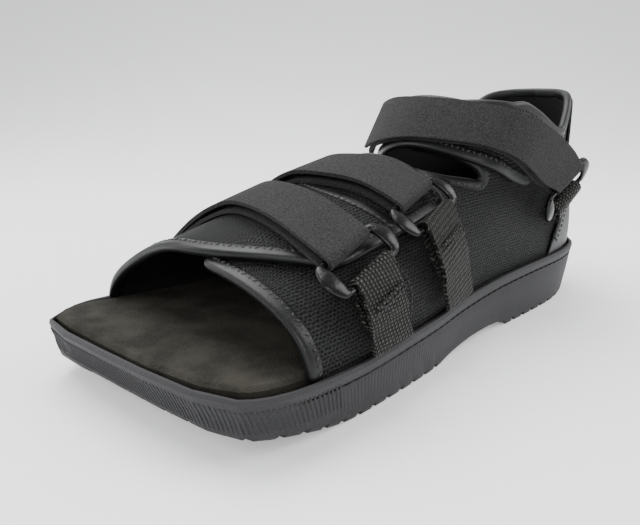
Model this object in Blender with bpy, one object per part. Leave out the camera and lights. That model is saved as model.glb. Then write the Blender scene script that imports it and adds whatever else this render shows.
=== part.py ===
"""Open-toe post-operative shoe for a left foot, standing on its sole.

Lengths in the tables are millimetres or shares of the named sizes; place() turns them into metres.
x runs from the inner (-) to the outer (+) side of the foot, s from the toe to the heel, z up.
"""

import math

import bmesh
import bpy
from mathutils import Vector

MM = 0.001

# Driving dimensions in millimetres
SHOE_LENGTH = 290.0
BALL_WIDTH = 126.0
RIM_LIP = 2.4
CUP_DEPTH = 7.5
INSOLE_THICKNESS = 8.3
UPPER_WALL = 2.6
BINDING_STEP = 0.4
BINDING_WIDTH = 5.0
COUNTER_THICKNESS = 1.4
COUNTER_GAP = 0.6
STITCH_GROOVE_DROP = 5.0
TREAD_DEPTH = 2.0
TREAD_GROOVE = 2.8
TREAD_PITCH = 9.6
TOE_NOTCH_PITCH = 11.0
STRAP_WIDTH = 24.5
STRAP_THICKNESS = 1.7
WEBBING_WIDTH = 22.0
WEBBING_THICKNESS = 1.6
RING_BAR = 3.0
RING_SIDE_BAR = 5.2
RING_OPENING = 28.0
RING_HEIGHT = 17.0
RING_LIFT = 4.6
ANKLE_RING_DIP = 8.0
INSTEP_HEIGHT = 92.0
TOE_ARCH_HEIGHT = 54.5
COLLAR_HEIGHT = 116.0
SEAM_GAP = 0.35
LIP_GAP = 0.9
OVERLAP_GAP = 1.1

RIM_INSET = RIM_LIP
UPPER_INSET = RIM_LIP + LIP_GAP + UPPER_WALL / 2
INSOLE_INSET = RIM_LIP + LIP_GAP + UPPER_WALL + 1.0
FLAP_STEP = UPPER_WALL + OVERLAP_GAP
BALL_HALF = BALL_WIDTH / 2

# Sole outline seen from above: across as a share of half the ball width, along as a share of the length
OUTLINE = [
    (-0.317, 0.016), (0.127, 0.036), (0.524, 0.059), (0.746, 0.075), (0.897, 0.097), (0.976, 0.132),
    (1.000, 0.181), (0.976, 0.250), (0.944, 0.330), (0.881, 0.434), (0.802, 0.521), (0.754, 0.608),
    (0.738, 0.694), (0.730, 0.781), (0.700, 0.864), (0.600, 0.935), (0.365, 0.985), (0.000, 1.000),
    (-0.333, 0.983), (-0.563, 0.932), (-0.667, 0.861), (-0.683, 0.771), (-0.675, 0.677), (-0.698, 0.573),
    (-0.778, 0.469), (-0.889, 0.361), (-0.968, 0.260), (-1.000, 0.167), (-0.992, 0.090), (-0.937, 0.038),
    (-0.810, 0.007), (-0.603, 0.003),
]
CORNERS = (4.0, 15.0, 19.0, 29.2)  # outer toe, outer heel, inner heel, inner toe, counted along OUTLINE
TOE_SLANT = 0.24

# Height of the sole's rim and of its underside: station as a share of the length, height in mm
RIM_HEIGHTS = [(0.0, 26.0), (0.14, 24.6), (0.24, 23.6), (0.35, 25.0), (0.45, 26.0), (0.56, 27.3),
               (0.66, 28.8), (0.77, 30.0), (1.0, 30.5)]
BOTTOM_HEIGHTS = [(0.0, 8.5), (0.05, 7.8), (0.10, 6.4), (0.16, 3.6), (0.21, 1.0), (0.25, 0.0), (0.445, 0.0), (0.50, 3.0), (0.56, 5.0),
                  (0.61, 4.6), (0.645, 3.8), (0.658, 0.0), (0.93, 0.0), (1.0, 3.4)]
# How far the sole's wall leans in towards the floor, as a share of WALL_LEAN
WALL_LEAN = 4.0
LEAN_SHARES = [(0.0, 1.8), (0.12, 1.6), (0.22, 1.1), (0.30, 1.0), (0.45, 0.8), (0.56, 0.3), (0.68, 0.6), (1.0, 1.0)]

# Arched sections of the vamp, front to back: along on the outer and inner side and at the crest, and
# the crest's place across, as shares; the crest's rise as a share from TOE_ARCH_HEIGHT to
# INSTEP_HEIGHT; how full the outer and inner shoulders are
VAMP = [
    # outer, inner, crest along, crest across, rise, outer full, inner full
    (0.189, 0.106, 0.144, -0.08, 0.00, 2.1, 1.65),
    (0.295, 0.222, 0.264, -0.12, 0.24, 2.1, 1.70),
    (0.403, 0.347, 0.375, -0.14, 0.45, 2.1, 1.80),
    (0.510, 0.479, 0.493, -0.12, 0.67, 2.2, 2.00),
    (0.618, 0.604, 0.611, -0.08, 1.00, 2.6, 2.40),
]
LAST_SECTION = len(VAMP) - 1
NOTCH_ANGLE = 40.0
UNDER_FLAP_EDGE = 80.0
TOP_FLAP_EDGE = 42.0
FLAP_SWEEP = 0.95

# Top line of the quarter, notch to heel: along as a share of the length, across as a share of half
# the ball width, height as a share of COLLAR_HEIGHT
COLLAR = [(0.701, 0.570, 0.955), (0.757, 0.578, 0.905), (0.806, 0.570, 0.850), (0.844, 0.560, 0.815),
          (0.872, 0.520, 0.890), (0.912, 0.430, 0.975), (0.950, 0.240, 0.997), (0.965, 0.000, 1.000)]
COLLAR_PLACES = [0.0, 0.16, 0.30, 0.42, 0.52, 0.66, 0.84, 1.0]
# Back of the heel, bottom to top: along as a share of the length, height as a share of COLLAR_HEIGHT
HEEL_CURVE = [(0.986, 0.16), (0.986, 0.275), (0.990, 0.42), (0.985, 0.62), (0.974, 0.82), (0.965, 1.0)]

# The wings that close over the front of the ankle lie on a tilted oval tube
ANKLE_LEAN = math.radians(32.0)
ANKLE_DEPTH = 18.5
INNER_NARROWING = 0.92
UP_ANKLE = Vector((0, math.sin(ANKLE_LEAN), math.cos(ANKLE_LEAN)))
FRONT_ANKLE = Vector((0, -math.cos(ANKLE_LEAN), math.sin(ANKLE_LEAN)))


def smooth_value(table, at, column=1):
    """Reads a column of a table between its rows, without overshoot."""
    xs = [row[0] for row in table]
    ys = [row[column] for row in table]
    if at <= xs[0]:
        return ys[0]
    if at >= xs[-1]:
        return ys[-1]
    i = max(k for k in range(len(xs) - 1) if xs[k] <= at)
    slopes = [(ys[k + 1] - ys[k]) / (xs[k + 1] - xs[k]) for k in range(len(xs) - 1)]

    def tangent(k):
        if k in (0, len(xs) - 1):
            return 0.0
        before, after = slopes[k - 1], slopes[k]
        return 0.0 if before * after <= 0 else 2 * before * after / (before + after)

    width = xs[i + 1] - xs[i]
    t = (at - xs[i]) / width
    return (
        (2 * t**3 - 3 * t**2 + 1) * ys[i]
        + (t**3 - 2 * t**2 + t) * width * tangent(i)
        + (-2 * t**3 + 3 * t**2) * ys[i + 1]
        + (t**3 - t**2) * width * tangent(i + 1)
    )


def place(point):
    """Millimetres in the shoe's own x, s, z to metres about the middle of the shoe."""
    return Vector((point[0], point[1] - SHOE_LENGTH / 2, point[2])) * MM


def oblique(x, s):
    """Station along the shoe, counted in lines parallel to the slanted toe."""
    fade = max(0.0, 1 - 2 * s / SHOE_LENGTH)
    return (s - TOE_SLANT * x * fade) / SHOE_LENGTH


def rim_height(x, s):
    return smooth_value(RIM_HEIGHTS, oblique(x, s))


def bottom_height(x, s):
    return smooth_value(BOTTOM_HEIGHTS, oblique(x, s))


def floor_height(x, s):
    return rim_height(x, s) - CUP_DEPTH


def outline_point(u):
    """Point and outward normal on the closed outline, u counted in OUTLINE's points."""
    n = len(OUTLINE)
    i = math.floor(u)
    t = u - i
    p0, p1, p2, p3 = (
        Vector((OUTLINE[(i + k) % n][0] * BALL_HALF, OUTLINE[(i + k) % n][1] * SHOE_LENGTH))
        for k in (-1, 0, 1, 2)
    )
    point = 0.5 * (
        2 * p1 + (p2 - p0) * t + (2 * p0 - 5 * p1 + 4 * p2 - p3) * t**2
        + (3 * p1 - p0 - 3 * p2 + p3) * t**3
    )
    along = 0.5 * (
        (p2 - p0) + 2 * (2 * p0 - 5 * p1 + 4 * p2 - p3) * t + 3 * (3 * p1 - p0 - 3 * p2 + p3) * t**2
    )
    along.normalize()
    return point, Vector((along.y, -along.x))


def spread(start, end, count):
    """count outline places from start up to but not including end, closer where the outline bends."""
    steps = 400
    us = [start + (end - start) * k / steps for k in range(steps + 1)]
    points = [outline_point(u) for u in us]
    run = [0.0]
    for (a, na), (b, nb) in zip(points, points[1:]):
        run.append(run[-1] + (b - a).length + 14.0 * na.angle(nb, 0.0))
    places = []
    k = 0
    for j in range(count):
        wanted = run[-1] * j / count
        while run[k + 1] < wanted:
            k += 1
        places.append(us[k] + (us[k + 1] - us[k]) * (wanted - run[k]) / (run[k + 1] - run[k]))
    return places


TOE_CELLS = 6
SIDE_CELLS = 29
PERIMETER = (
    spread(CORNERS[0], CORNERS[1], SIDE_CELLS)
    + spread(CORNERS[1], CORNERS[2], TOE_CELLS)
    + spread(CORNERS[2], CORNERS[3], SIDE_CELLS)
    + spread(CORNERS[3], CORNERS[0] + len(OUTLINE), TOE_CELLS)
)


def outline_loop(inset, height):
    """The outline moved in by inset(x, s), at height(x, s)."""
    loop = []
    for u in PERIMETER:
        point, normal = outline_point(u)
        moved = point - normal * inset(point.x, point.y)
        loop.append(Vector((moved.x, moved.y, height(moved.x, moved.y))))
    return loop


def side_station(x_sign, along):
    """Outline place on the outer (+1) or inner (-1) side at a station along the shoe."""
    low, high = (CORNERS[0], 17.0) if x_sign > 0 else (CORNERS[3], 17.0)
    for _ in range(40):
        middle = (low + high) / 2
        if outline_point(middle)[0].y < along:
            low = middle
        else:
            high = middle
    return (low + high) / 2


def feather_point(u, inset=UPPER_INSET):
    point, normal = outline_point(u)
    moved = point - normal * inset
    return Vector((moved.x, moved.y, rim_height(moved.x, moved.y)))


# Building of meshes


def new_object(name, bm, material):
    bmesh.ops.recalc_face_normals(bm, faces=bm.faces)
    mesh = bpy.data.meshes.new(name)
    bm.to_mesh(mesh)
    bm.free()
    mesh.shade_smooth()
    mesh.set_sharp_from_angle(angle=math.radians(35))
    obj = bpy.data.objects.new(name, mesh)
    obj.data.materials.append(material)
    bpy.context.scene.collection.objects.link(obj)
    return obj


def loft(bm, loops, ring=False, caps=True):
    """Skins loops of equal length. A ring joins the last loop to the first; caps close the ends."""
    rows = [[bm.verts.new(place(p)) for p in loop] for loop in loops]
    pairs = list(zip(rows, rows[1:])) + ([(rows[-1], rows[0])] if ring else [])
    for a, b in pairs:
        for k in range(len(a)):
            m = (k + 1) % len(a)
            bm.faces.new((a[k], a[m], b[m], b[k]))
    if caps and not ring:
        bm.faces.new(rows[0])
        bm.faces.new(rows[-1])
    return rows


def fill_grid(bm, rim, height):
    """Fills a loop made by outline_loop with rows across the shoe, at height(x, s)."""
    n = len(rim)
    toe, side = TOE_CELLS, SIDE_CELLS
    outer = [rim[k] for k in range(side + 1)]
    heel = [rim[side + k] for k in range(toe + 1)]
    inner = [rim[(side + toe + k) % n] for k in range(side + 1)]
    front = [rim[(2 * side + toe + k) % n] for k in range(toe + 1)]
    grid = []
    for i in range(side + 1):
        a, b = outer[i], inner[side - i]
        row = [a]
        for j in range(1, toe):
            if i == 0:
                row.append(front[toe - j])
            elif i == side:
                row.append(heel[j])
            else:
                t, w = j / toe, i / side
                across = a.co.lerp(b.co, t)
                bow_front = front[toe - j].co - outer[0].co.lerp(inner[side].co, t)
                bow_heel = heel[j].co - outer[side].co.lerp(inner[0].co, t)
                spot = across + bow_front * (1 - w) ** 3 + bow_heel * w**3
                x, s = spot.x / MM, spot.y / MM + SHOE_LENGTH / 2
                row.append(bm.verts.new(place((x, s, height(x, s)))))
        row.append(b)
        grid.append(row)
    for i in range(side):
        for j in range(toe):
            bm.faces.new((grid[i][j], grid[i][j + 1], grid[i + 1][j + 1], grid[i + 1][j]))


# Outsole


def wall_inset(share):
    return lambda x, s: share * WALL_LEAN * smooth_value(LEAN_SHARES, oblique(x, s))


def wall_level(share=0.0, below_rim=None):
    if below_rim is not None:
        return lambda x, s: rim_height(x, s) - below_rim
    return lambda x, s: bottom_height(x, s) + share * (rim_height(x, s) - bottom_height(x, s))


def zigzag_cutters(bm):
    """Grooves that run across the underside in zigzags and leave the lugs between them."""
    forefoot = (0.085 * SHOE_LENGTH, 0.455 * SHOE_LENGTH)
    heel = (0.675 * SHOE_LENGTH, 0.955 * SHOE_LENGTH)
    amplitude = 0.3 * TREAD_PITCH
    for first, last in (forefoot, heel):
        count = int((last - first) / TREAD_PITCH) + 1
        for k in range(count):
            station = first + k * TREAD_PITCH
            loops = []
            for step in range(7):
                x = BALL_WIDTH * 0.55 * (step / 3 - 1)
                fade = max(0.0, 1 - 2 * station / SHOE_LENGTH)
                s = station + TOE_SLANT * x * fade + amplitude * (-1) ** step
                half = TREAD_GROOVE / 2
                low = bottom_height(x, s) - TREAD_DEPTH
                high = bottom_height(x, s) + TREAD_DEPTH
                loops.append([(x, s - half, low), (x, s + half, low), (x, s + half, high), (x, s - half, high)])
            loft(bm, loops)


def toe_notches(bm):
    """Short notches in the front edge of the underside."""
    across = -BALL_HALF * 0.72
    while across < BALL_HALF * 0.66:
        s = 0.036 * SHOE_LENGTH + TOE_SLANT * across
        low = bottom_height(across, s) - 2 * TREAD_DEPTH
        half = TREAD_GROOVE / 2
        loops = [
            [(across - half, s - 6, low), (across + half, s - 6, low),
             (across + half, s - 6, low + 3.4 * TREAD_DEPTH), (across - half, s - 6, low + 3.4 * TREAD_DEPTH)],
            [(across - half, s + 8, low), (across + half, s + 8, low),
             (across + half, s + 8, low + 2.6 * TREAD_DEPTH), (across - half, s + 8, low + 2.6 * TREAD_DEPTH)],
        ]
        loft(bm, loops)
        across += TOE_NOTCH_PITCH


def make_outsole(material):
    groove = STITCH_GROOVE_DROP
    rings = [
        (wall_inset(1.0), bottom_height),
        (wall_inset(0.82), wall_level(0.07)),
        (wall_inset(0.40), wall_level(0.50)),
        (wall_inset(0.18), wall_level(below_rim=groove + 0.6)),
        (lambda x, s: wall_inset(0.18)(x, s) + 1.0, wall_level(below_rim=groove)),
        (wall_inset(0.12), wall_level(below_rim=groove - 0.6)),
        (wall_inset(0.0), wall_level(below_rim=1.4)),
        (lambda x, s: 0.6, wall_level(below_rim=0.0)),
        (lambda x, s: RIM_INSET - 0.5, wall_level(below_rim=0.0)),
        (lambda x, s: RIM_INSET, wall_level(below_rim=0.6)),
        (lambda x, s: RIM_INSET, floor_height),
    ]
    bm = bmesh.new()
    rows = loft(bm, [outline_loop(inset, height) for inset, height in rings], caps=False)
    fill_grid(bm, rows[0], bottom_height)
    fill_grid(bm, rows[-1], floor_height)
    outsole = new_object("outsole", bm, material)
    for name, make in (("tread_cutter", zigzag_cutters), ("toe_cutter", toe_notches)):
        bm = bmesh.new()
        make(bm)
        cutter = new_object(name, bm, material)
        cutter.hide_render = True
        cutter.display_type = "WIRE"
        cut = outsole.modifiers.new(name, "BOOLEAN")
        cut.operation = "DIFFERENCE"
        cut.object = cutter
    return outsole


def make_insole(material):
    top = lambda x, s: floor_height(x, s) + SEAM_GAP + INSOLE_THICKNESS
    rings = [
        (lambda x, s: INSOLE_INSET, lambda x, s: floor_height(x, s) + SEAM_GAP),
        (lambda x, s: INSOLE_INSET, lambda x, s: top(x, s) - 1.6),
        (lambda x, s: INSOLE_INSET + 1.4, top),
    ]
    bm = bmesh.new()
    rows = loft(bm, [outline_loop(inset, height) for inset, height in rings], caps=False)
    fill_grid(bm, rows[0], rings[0][1])
    fill_grid(bm, rows[-1], top)
    return new_object("insole", bm, material)


# Surface of the upper, on the middle of its wall


def vamp_column(sigma, column):
    rows = [(k, *row) for k, row in enumerate(VAMP)]
    return smooth_linear(rows, sigma, column + 1)


def smooth_linear(rows, at, column):
    """A Catmull-Rom reading of a column over evenly numbered rows."""
    last = len(rows) - 1
    i = min(max(math.floor(at), 0), last - 1)
    t = at - i
    y = [rows[min(max(i + k, 0), last)][column] for k in (-1, 0, 1, 2)]
    return 0.5 * (
        2 * y[1] + (y[2] - y[0]) * t + (2 * y[0] - 5 * y[1] + 4 * y[2] - y[3]) * t**2
        + (3 * y[1] - y[0] - 3 * y[2] + y[3]) * t**3
    )


def vamp_crest(sigma, lift=0.0):
    rise = vamp_column(sigma, 4)
    height = TOE_ARCH_HEIGHT + rise * (INSTEP_HEIGHT - TOE_ARCH_HEIGHT) + lift
    return Vector((vamp_column(sigma, 3) * BALL_HALF, vamp_column(sigma, 2) * SHOE_LENGTH, height))


def vamp_arch(side, sigma, degrees, lift=0.0):
    """Point of the vamp: side +1 outer or -1 inner, 0 degrees at the rim and 90 at the crest."""
    base = feather_point(side_station(side, vamp_column(sigma, 0 if side > 0 else 1) * SHOE_LENGTH))
    crest = vamp_crest(sigma, lift)
    power = 2 / vamp_column(sigma, 5 if side > 0 else 6)
    angle = math.radians(degrees)
    inward = 1 - math.cos(angle) ** power
    upward = math.sin(angle) ** power
    return Vector((
        base.x + (crest.x - base.x) * inward,
        base.y + (crest.y - base.y) * inward,
        base.z + (crest.z - base.z) * upward,
    ))


def vamp_frame(sigma, turn, offset=0.0):
    """Point, outward normal and unit steps back and over at a place of the top flap.

    turn runs from 0 at the inner rim over 0.5 at the crest to 1 at the outer rim. The top flap
    leaves the level of the under flap above the notch and lies FLAP_STEP outside it from the crest on.
    """
    def spot(a, b):
        if b <= 0.5:
            return vamp_arch(-1, a, 180 * max(b, 0.0))
        return vamp_arch(1, a, 180 * (1 - min(b, 1.0)))
    delta = 0.012
    here = spot(sigma, turn)
    back = (spot(sigma + delta, turn) - spot(sigma - delta, turn)).normalized()
    over = (spot(sigma, turn + delta) - spot(sigma, turn - delta)).normalized()
    normal = over.cross(back)
    normal.normalize()
    step = FLAP_STEP * smooth_value([(NOTCH_ANGLE / 180, 0), (0.5, 1)], turn)
    return here + normal * (step + offset), normal, back, over


def table_point(rows, places, at):
    """Point between rows of a rail, at a place from 0 to 1, by cubic reading."""
    spot = [0.0, 0.0, 0.0]
    for c in range(3):
        spot[c] = smooth_value([(p, row[c]) for p, row in zip(places, rows)], at)
    return spot


def collar_point(side, p):
    along, across, high = table_point(COLLAR, COLLAR_PLACES, p)
    across *= INNER_NARROWING if side < 0 else 1.0
    return Vector((side * across * BALL_HALF, along * SHOE_LENGTH, high * COLLAR_HEIGHT))


NOTCH_ROWS = 6
QUARTER_ROWS = 11


def notch_column(side):
    """Front column of the quarter: up the last vamp section to the notch, then to the collar."""
    base = vamp_arch(side, LAST_SECTION, 0.0)
    points = [Vector((base.x, base.y, floor_height(base.x, base.y) + SEAM_GAP))]
    for j in range(1, NOTCH_ROWS + 1):
        points.append(vamp_arch(side, LAST_SECTION, NOTCH_ANGLE * (j - 1) / (NOTCH_ROWS - 1)))
    notch, top = points[-1], collar_point(side, 0.0)
    for j in range(1, QUARTER_ROWS - NOTCH_ROWS + 1):
        t = j / (QUARTER_ROWS - NOTCH_ROWS)
        spot = notch.lerp(top, t)
        spot.x += side * 1.2 * math.sin(math.pi * t)
        points.append(spot)
    return points


def heel_column(shares):
    """Back of the heel at the given shares of its height."""
    low = floor_height(0, SHOE_LENGTH) + SEAM_GAP
    points = []
    for v in shares:
        z = low + v * (COLLAR_HEIGHT - low)
        along = smooth_value([(h, a) for a, h in HEEL_CURVE], z / COLLAR_HEIGHT)
        points.append(Vector((0.0, along * SHOE_LENGTH, z)))
    return points


QUARTER_COLUMNS = [0.0, 0.08, 0.16, 0.24, 0.33, 0.42, 0.49, 0.57, 0.66, 0.75, 0.84, 0.92, 1.0]


def column_shares(column):
    """Heights of a column's points as shares of its whole height."""
    return [(p.z - column[0].z) / (column[-1].z - column[0].z) for p in column]


def quarter_column(side, p):
    """Column of the quarter at a place p from the notch (0) to the back of the heel (1)."""
    first = FRONT_COLUMNS[side]
    last = HEEL_COLUMN
    front_shares, back_shares = column_shares(first), column_shares(FRONT_COLUMNS[1])
    start = side_station(side, first[0].y)
    foot = feather_point(start + (17.0 - start) * p)
    low = Vector((foot.x, foot.y, floor_height(foot.x, foot.y) + SEAM_GAP)) if p > 0 else first[0]
    high = collar_point(side, p)
    column = []
    for j in range(len(first)):
        v = front_shares[j] * (1 - p) + back_shares[j] * p
        sides = first[j] * (1 - p) + last[j] * p
        rails = low * (1 - v) + high * v
        corners = (first[0] * (1 - p) + last[0] * p) * (1 - v) + (first[-1] * (1 - p) + last[-1] * p) * v
        column.append(sides + rails - corners)
    return column


FRONT_COLUMNS = {side: notch_column(side) for side in (1, -1)}
HEEL_COLUMN = heel_column(column_shares(FRONT_COLUMNS[1]))
QUARTERS = {side: [quarter_column(side, p) for p in QUARTER_COLUMNS] for side in (1, -1)}


def quarter_across(side, s, z):
    """Distance of the quarter's wall from the middle plane at a station and height."""
    best = None
    for a, b in zip(QUARTERS[side], QUARTERS[side][1:]):
        for j in range(1, len(a) - 1):
            for u in (0.0, 0.25, 0.5, 0.75):
                for w in (0.0, 0.25, 0.5, 0.75):
                    spot = (a[j] * (1 - u) + b[j] * u) * (1 - w) + (a[j + 1] * (1 - u) + b[j + 1] * u) * w
                    far = (spot.y - s) ** 2 + (spot.z - z) ** 2
                    if best is None or far < best[0]:
                        best = (far, abs(spot.x))
    return best[1]


def ankle_origin():
    notch = notch_column(1)[NOTCH_ROWS]
    return Vector((0, notch.y, notch.z)), notch.x


ANKLE_CENTRE, ANKLE_HALF = ankle_origin()


def ankle_base(degrees, up):
    """Point on the ankle tube: -90 inner side, 0 front, 90 outer side, past which it runs straight back.

    Beyond 90 degrees each further degree is half a millimetre along the quarter.
    """
    side = math.copysign(1, degrees)
    turn = math.radians(min(abs(degrees), 90.0))
    back = max(abs(degrees) - 90.0, 0.0) * 0.5
    spot = ANKLE_CENTRE + UP_ANKLE * up
    spot = spot + FRONT_ANKLE * (ANKLE_DEPTH * math.cos(turn) - back)
    half = ANKLE_HALF * (INNER_NARROWING if side < 0 else 1.0)
    across = half * math.sin(turn) ** (1.2 if side > 0 else 1.35)
    blend = min(max((abs(degrees) - 60) / 30, 0.0), 1.0)
    if blend > 0:
        wall = quarter_across(int(side), spot.y, spot.z)
        across = across * (1 - blend) + max(across, wall) * blend
    return Vector((side * across, spot.y, spot.z))


def ankle_point(degrees, up, offset=0.0):
    """Point outside the ankle tube by offset, square to it."""
    here = ankle_base(degrees, up)
    if offset == 0:
        return here
    along = ankle_base(degrees + 3, up) - ankle_base(degrees - 3, up)
    normal = along.cross(UP_ANKLE)
    normal.normalize()
    if normal.dot(Vector((here.x, 0, 0)) + FRONT_ANKLE * 8) < 0:
        normal = -normal
    clear = OVERLAP_GAP * min(max((degrees - 60) / 30, 0.0), 1.0) if offset > UPPER_WALL else 0.0
    return here + normal * (offset + clear)


# Edges of the wings round the ankle: degrees from the front, lower and upper edge in mm up the tube,
# and how far the wing has stepped out to lie over the other one
OUTER_WING = [
    # degrees, low, high, step
    (82, 2.5, 40, 0), (70, 4.5, 39, 0), (56, 5, 37, 0), (42, 5, 35, 0), (28, 5, 33, 0), (14, 5, 31, 0),
    (0, 5, 30, 0), (-10, 5, 29, 0),
]
INNER_WING = [
    (-82, 2.5, 40, 0), (-70, 4, 39, 0), (-56, 4, 36, 0.2), (-42, 3, 34, 0.5), (-28, 3.5, 33, 0.8),
    (-14, 4, 32, 1), (0, 4.5, 32, 1), (14, 5, 32, 1), (28, 5, 32, 1), (42, 5, 32, 1), (56, 5, 32, 1),
    (70, 5.5, 32, 1), (82, 6.5, 33, 1), (96, 7.5, 33, 1), (112, 8.5, 33, 1), (130, 10.5, 32, 1),
    (146, 13, 30, 1),
]


def wing_grid(side, table, step):
    """A wing from its quarter's notch column round the front of the ankle."""
    rows = QUARTER_ROWS - NOTCH_ROWS
    grid = [notch_column(side)[NOTCH_ROWS:]]
    for degrees, low, high, share in table:
        grid.append([ankle_point(degrees, low + (high - low) * j / rows, step * share) for j in range(rows + 1)])
    return grid


def make_upper(material):
    bm = bmesh.new()
    edges = []

    def add(grid):
        rows = [[bm.verts.new(place(p)) for p in column] for column in grid]
        for a, b in zip(rows, rows[1:]):
            for k in range(len(a) - 1):
                bm.faces.new((a[k], a[k + 1], b[k + 1], b[k]))

    cells = 9
    # Outer vamp flap, tucked under
    grid = []
    for i in range(cells + 1):
        column = []
        for j in range(13):
            degrees = 0.0 if j < 2 else under_angle(j)
            reach = rear_reach(degrees)
            sigma = reach * i / cells
            spot = vamp_arch(1, sigma, degrees)
            if j == 0:
                spot.z = floor_height(spot.x, spot.y) + SEAM_GAP
            column.append(spot)
        grid.append(column)
    add(grid)
    # Inner vamp flap, on top
    grid = []
    for i in range(cells + 1):
        column = []
        for j in range(20):
            turn = 0.0 if j < 2 else top_turn(j)
            degrees = 180 * min(turn, 0.5)
            front = front_reach(turn)
            sigma = front + (rear_reach(degrees) - front) * i / cells
            spot = vamp_frame(sigma, turn)[0]
            if j == 0:
                spot.z = floor_height(spot.x, spot.y) + SEAM_GAP
            column.append(spot)
        grid.append(column)
    add(grid)
    for side in (1, -1):
        add(QUARTERS[side])
    add(wing_grid(1, OUTER_WING, 0.0))
    add(wing_grid(-1, INNER_WING, FLAP_STEP))
    bmesh.ops.remove_doubles(bm, verts=bm.verts, dist=2e-6)
    thicken(bm)
    return new_object("upper", bm, material)


def under_angle(j):
    """Angles of the outer flap's rows: NOTCH_ROWS of them shared with the quarter, then up to the edge."""
    if j <= NOTCH_ROWS:
        return NOTCH_ANGLE * (j - 1) / (NOTCH_ROWS - 1)
    return NOTCH_ANGLE + (UNDER_FLAP_EDGE - NOTCH_ANGLE) * (j - NOTCH_ROWS) / (12 - NOTCH_ROWS)


def top_turn(j):
    """Turns of the inner flap's rows, over the crest to the free edge on the outer side."""
    if j <= NOTCH_ROWS:
        return NOTCH_ANGLE * (j - 1) / (NOTCH_ROWS - 1) / 180
    if j <= 12:
        return (NOTCH_ANGLE + (90 - NOTCH_ANGLE) * (j - NOTCH_ROWS) / (12 - NOTCH_ROWS)) / 180
    return 0.5 + (90 - TOP_FLAP_EDGE) / 180 * (j - 12) / 7


def front_reach(turn):
    """First section that the top flap reaches: its front edge sweeps back on the outer side."""
    edge = 0.5 + (90 - TOP_FLAP_EDGE) / 180
    return FLAP_SWEEP * max(0.0, (turn - 0.5) / (edge - 0.5)) ** 1.4


def rear_reach(degrees):
    """Last section that the vamp reaches: it is cut forward above the notch."""
    return LAST_SECTION - 0.85 * smooth_value([(NOTCH_ANGLE, 0), (50, 0.5), (66, 0.85), (90, 1)], degrees)


def thicken(bm):
    """Turns the sheet into a wall about its middle, thicker along the bound edges."""
    bmesh.ops.recalc_face_normals(bm, faces=bm.faces)
    bm.normal_update()
    verts = list(bm.verts)
    rim = [e for e in bm.edges if e.is_boundary]
    faces = [[v.index for v in f.verts] for f in bm.faces]
    bm.verts.index_update()
    faces = [[v.index for v in f.verts] for f in bm.faces]
    rim = [(e.verts[0].index, e.verts[1].index) for e in rim]
    base = [v.co.copy() for v in verts]
    normals = [v.normal.copy() for v in verts]
    centre = Vector((0, 0.05, 0.03))
    flip = sum(n.dot(c - centre) for n, c in zip(normals, base)) < 0
    edge_verts = {k for pair in rim for k in pair}
    half = []
    for k, co in enumerate(base):
        low = co.z < place((0, 0, RIM_HEIGHTS[-1][1] + 3)).z
        extra = BINDING_STEP if k in edge_verts and not low else 0.0
        half.append((UPPER_WALL / 2 + extra) * MM)
    bm.clear()
    sign = -1 if flip else 1
    outer = [bm.verts.new(c + n * sign * h) for c, n, h in zip(base, normals, half)]
    inner = [bm.verts.new(c - n * sign * h) for c, n, h in zip(base, normals, half)]
    for f in faces:
        bm.faces.new([outer[k] for k in f])
        bm.faces.new([inner[k] for k in reversed(f)])
    for a, b in rim:
        bm.faces.new((outer[a], outer[b], inner[b], inner[a]))


# Straps, rings and webbing


def vamp_spot(along, turn, offset=0.0):
    """Point and normal above the outside of the top flap at a station along the shoe and a turn."""
    low, high = -0.6, LAST_SECTION + 0.6
    for _ in range(30):
        middle = (low + high) / 2
        if vamp_frame(middle, turn)[0].y < along:
            low = middle
        else:
            high = middle
    point, normal, back, over = vamp_frame(low, turn, UPPER_WALL / 2 + offset)
    return point, normal, back, over


def ankle_spot(degrees, up, offset=0.0):
    """Point and normal above the outside of the inner wing."""
    reach = FLAP_STEP + UPPER_WALL / 2 + offset
    here = ankle_point(degrees, up, reach)
    over = ankle_point(degrees + 1.5, up, reach) - ankle_point(degrees - 1.5, up, reach)
    rise = ankle_point(degrees, up + 1, reach) - ankle_point(degrees, up - 1, reach)
    over.normalize()
    rise.normalize()
    normal = over.cross(rise)
    normal.normalize()
    if normal.dot(here - ANKLE_CENTRE) < 0:
        normal = -normal
    return here, normal, rise, over


def band(name, stations, thickness, material):
    """A band through stations; a station is a list of (point, normal) from its front edge to its rear."""
    bm = bmesh.new()
    half = thickness / 2
    loops = []
    for station in stations:
        under = [point - normal * half for point, normal in station]
        over = [point + normal * half for point, normal in station]
        loops.append(under + over[::-1])
    loft(bm, loops)
    return new_object(name, bm, material)


ACROSS = (-1.0, -0.5, 0.0, 0.5, 1.0)


def face_down(station):
    """The station of a run that lies below its own fold."""
    return [(point, -normal) for point, normal in station]


def ring_axes(frame, tilt):
    """Middle, long axis, short axis and normal of a ring that lies on a frame, turned by tilt."""
    point, normal, back, over = frame
    long_axis = back * math.cos(tilt) - over * math.sin(tilt)
    short_axis = normal.cross(long_axis)
    if short_axis.dot(over) < 0:
        short_axis = -short_axis
    return point + normal * RING_LIFT, long_axis, short_axis, normal


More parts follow.
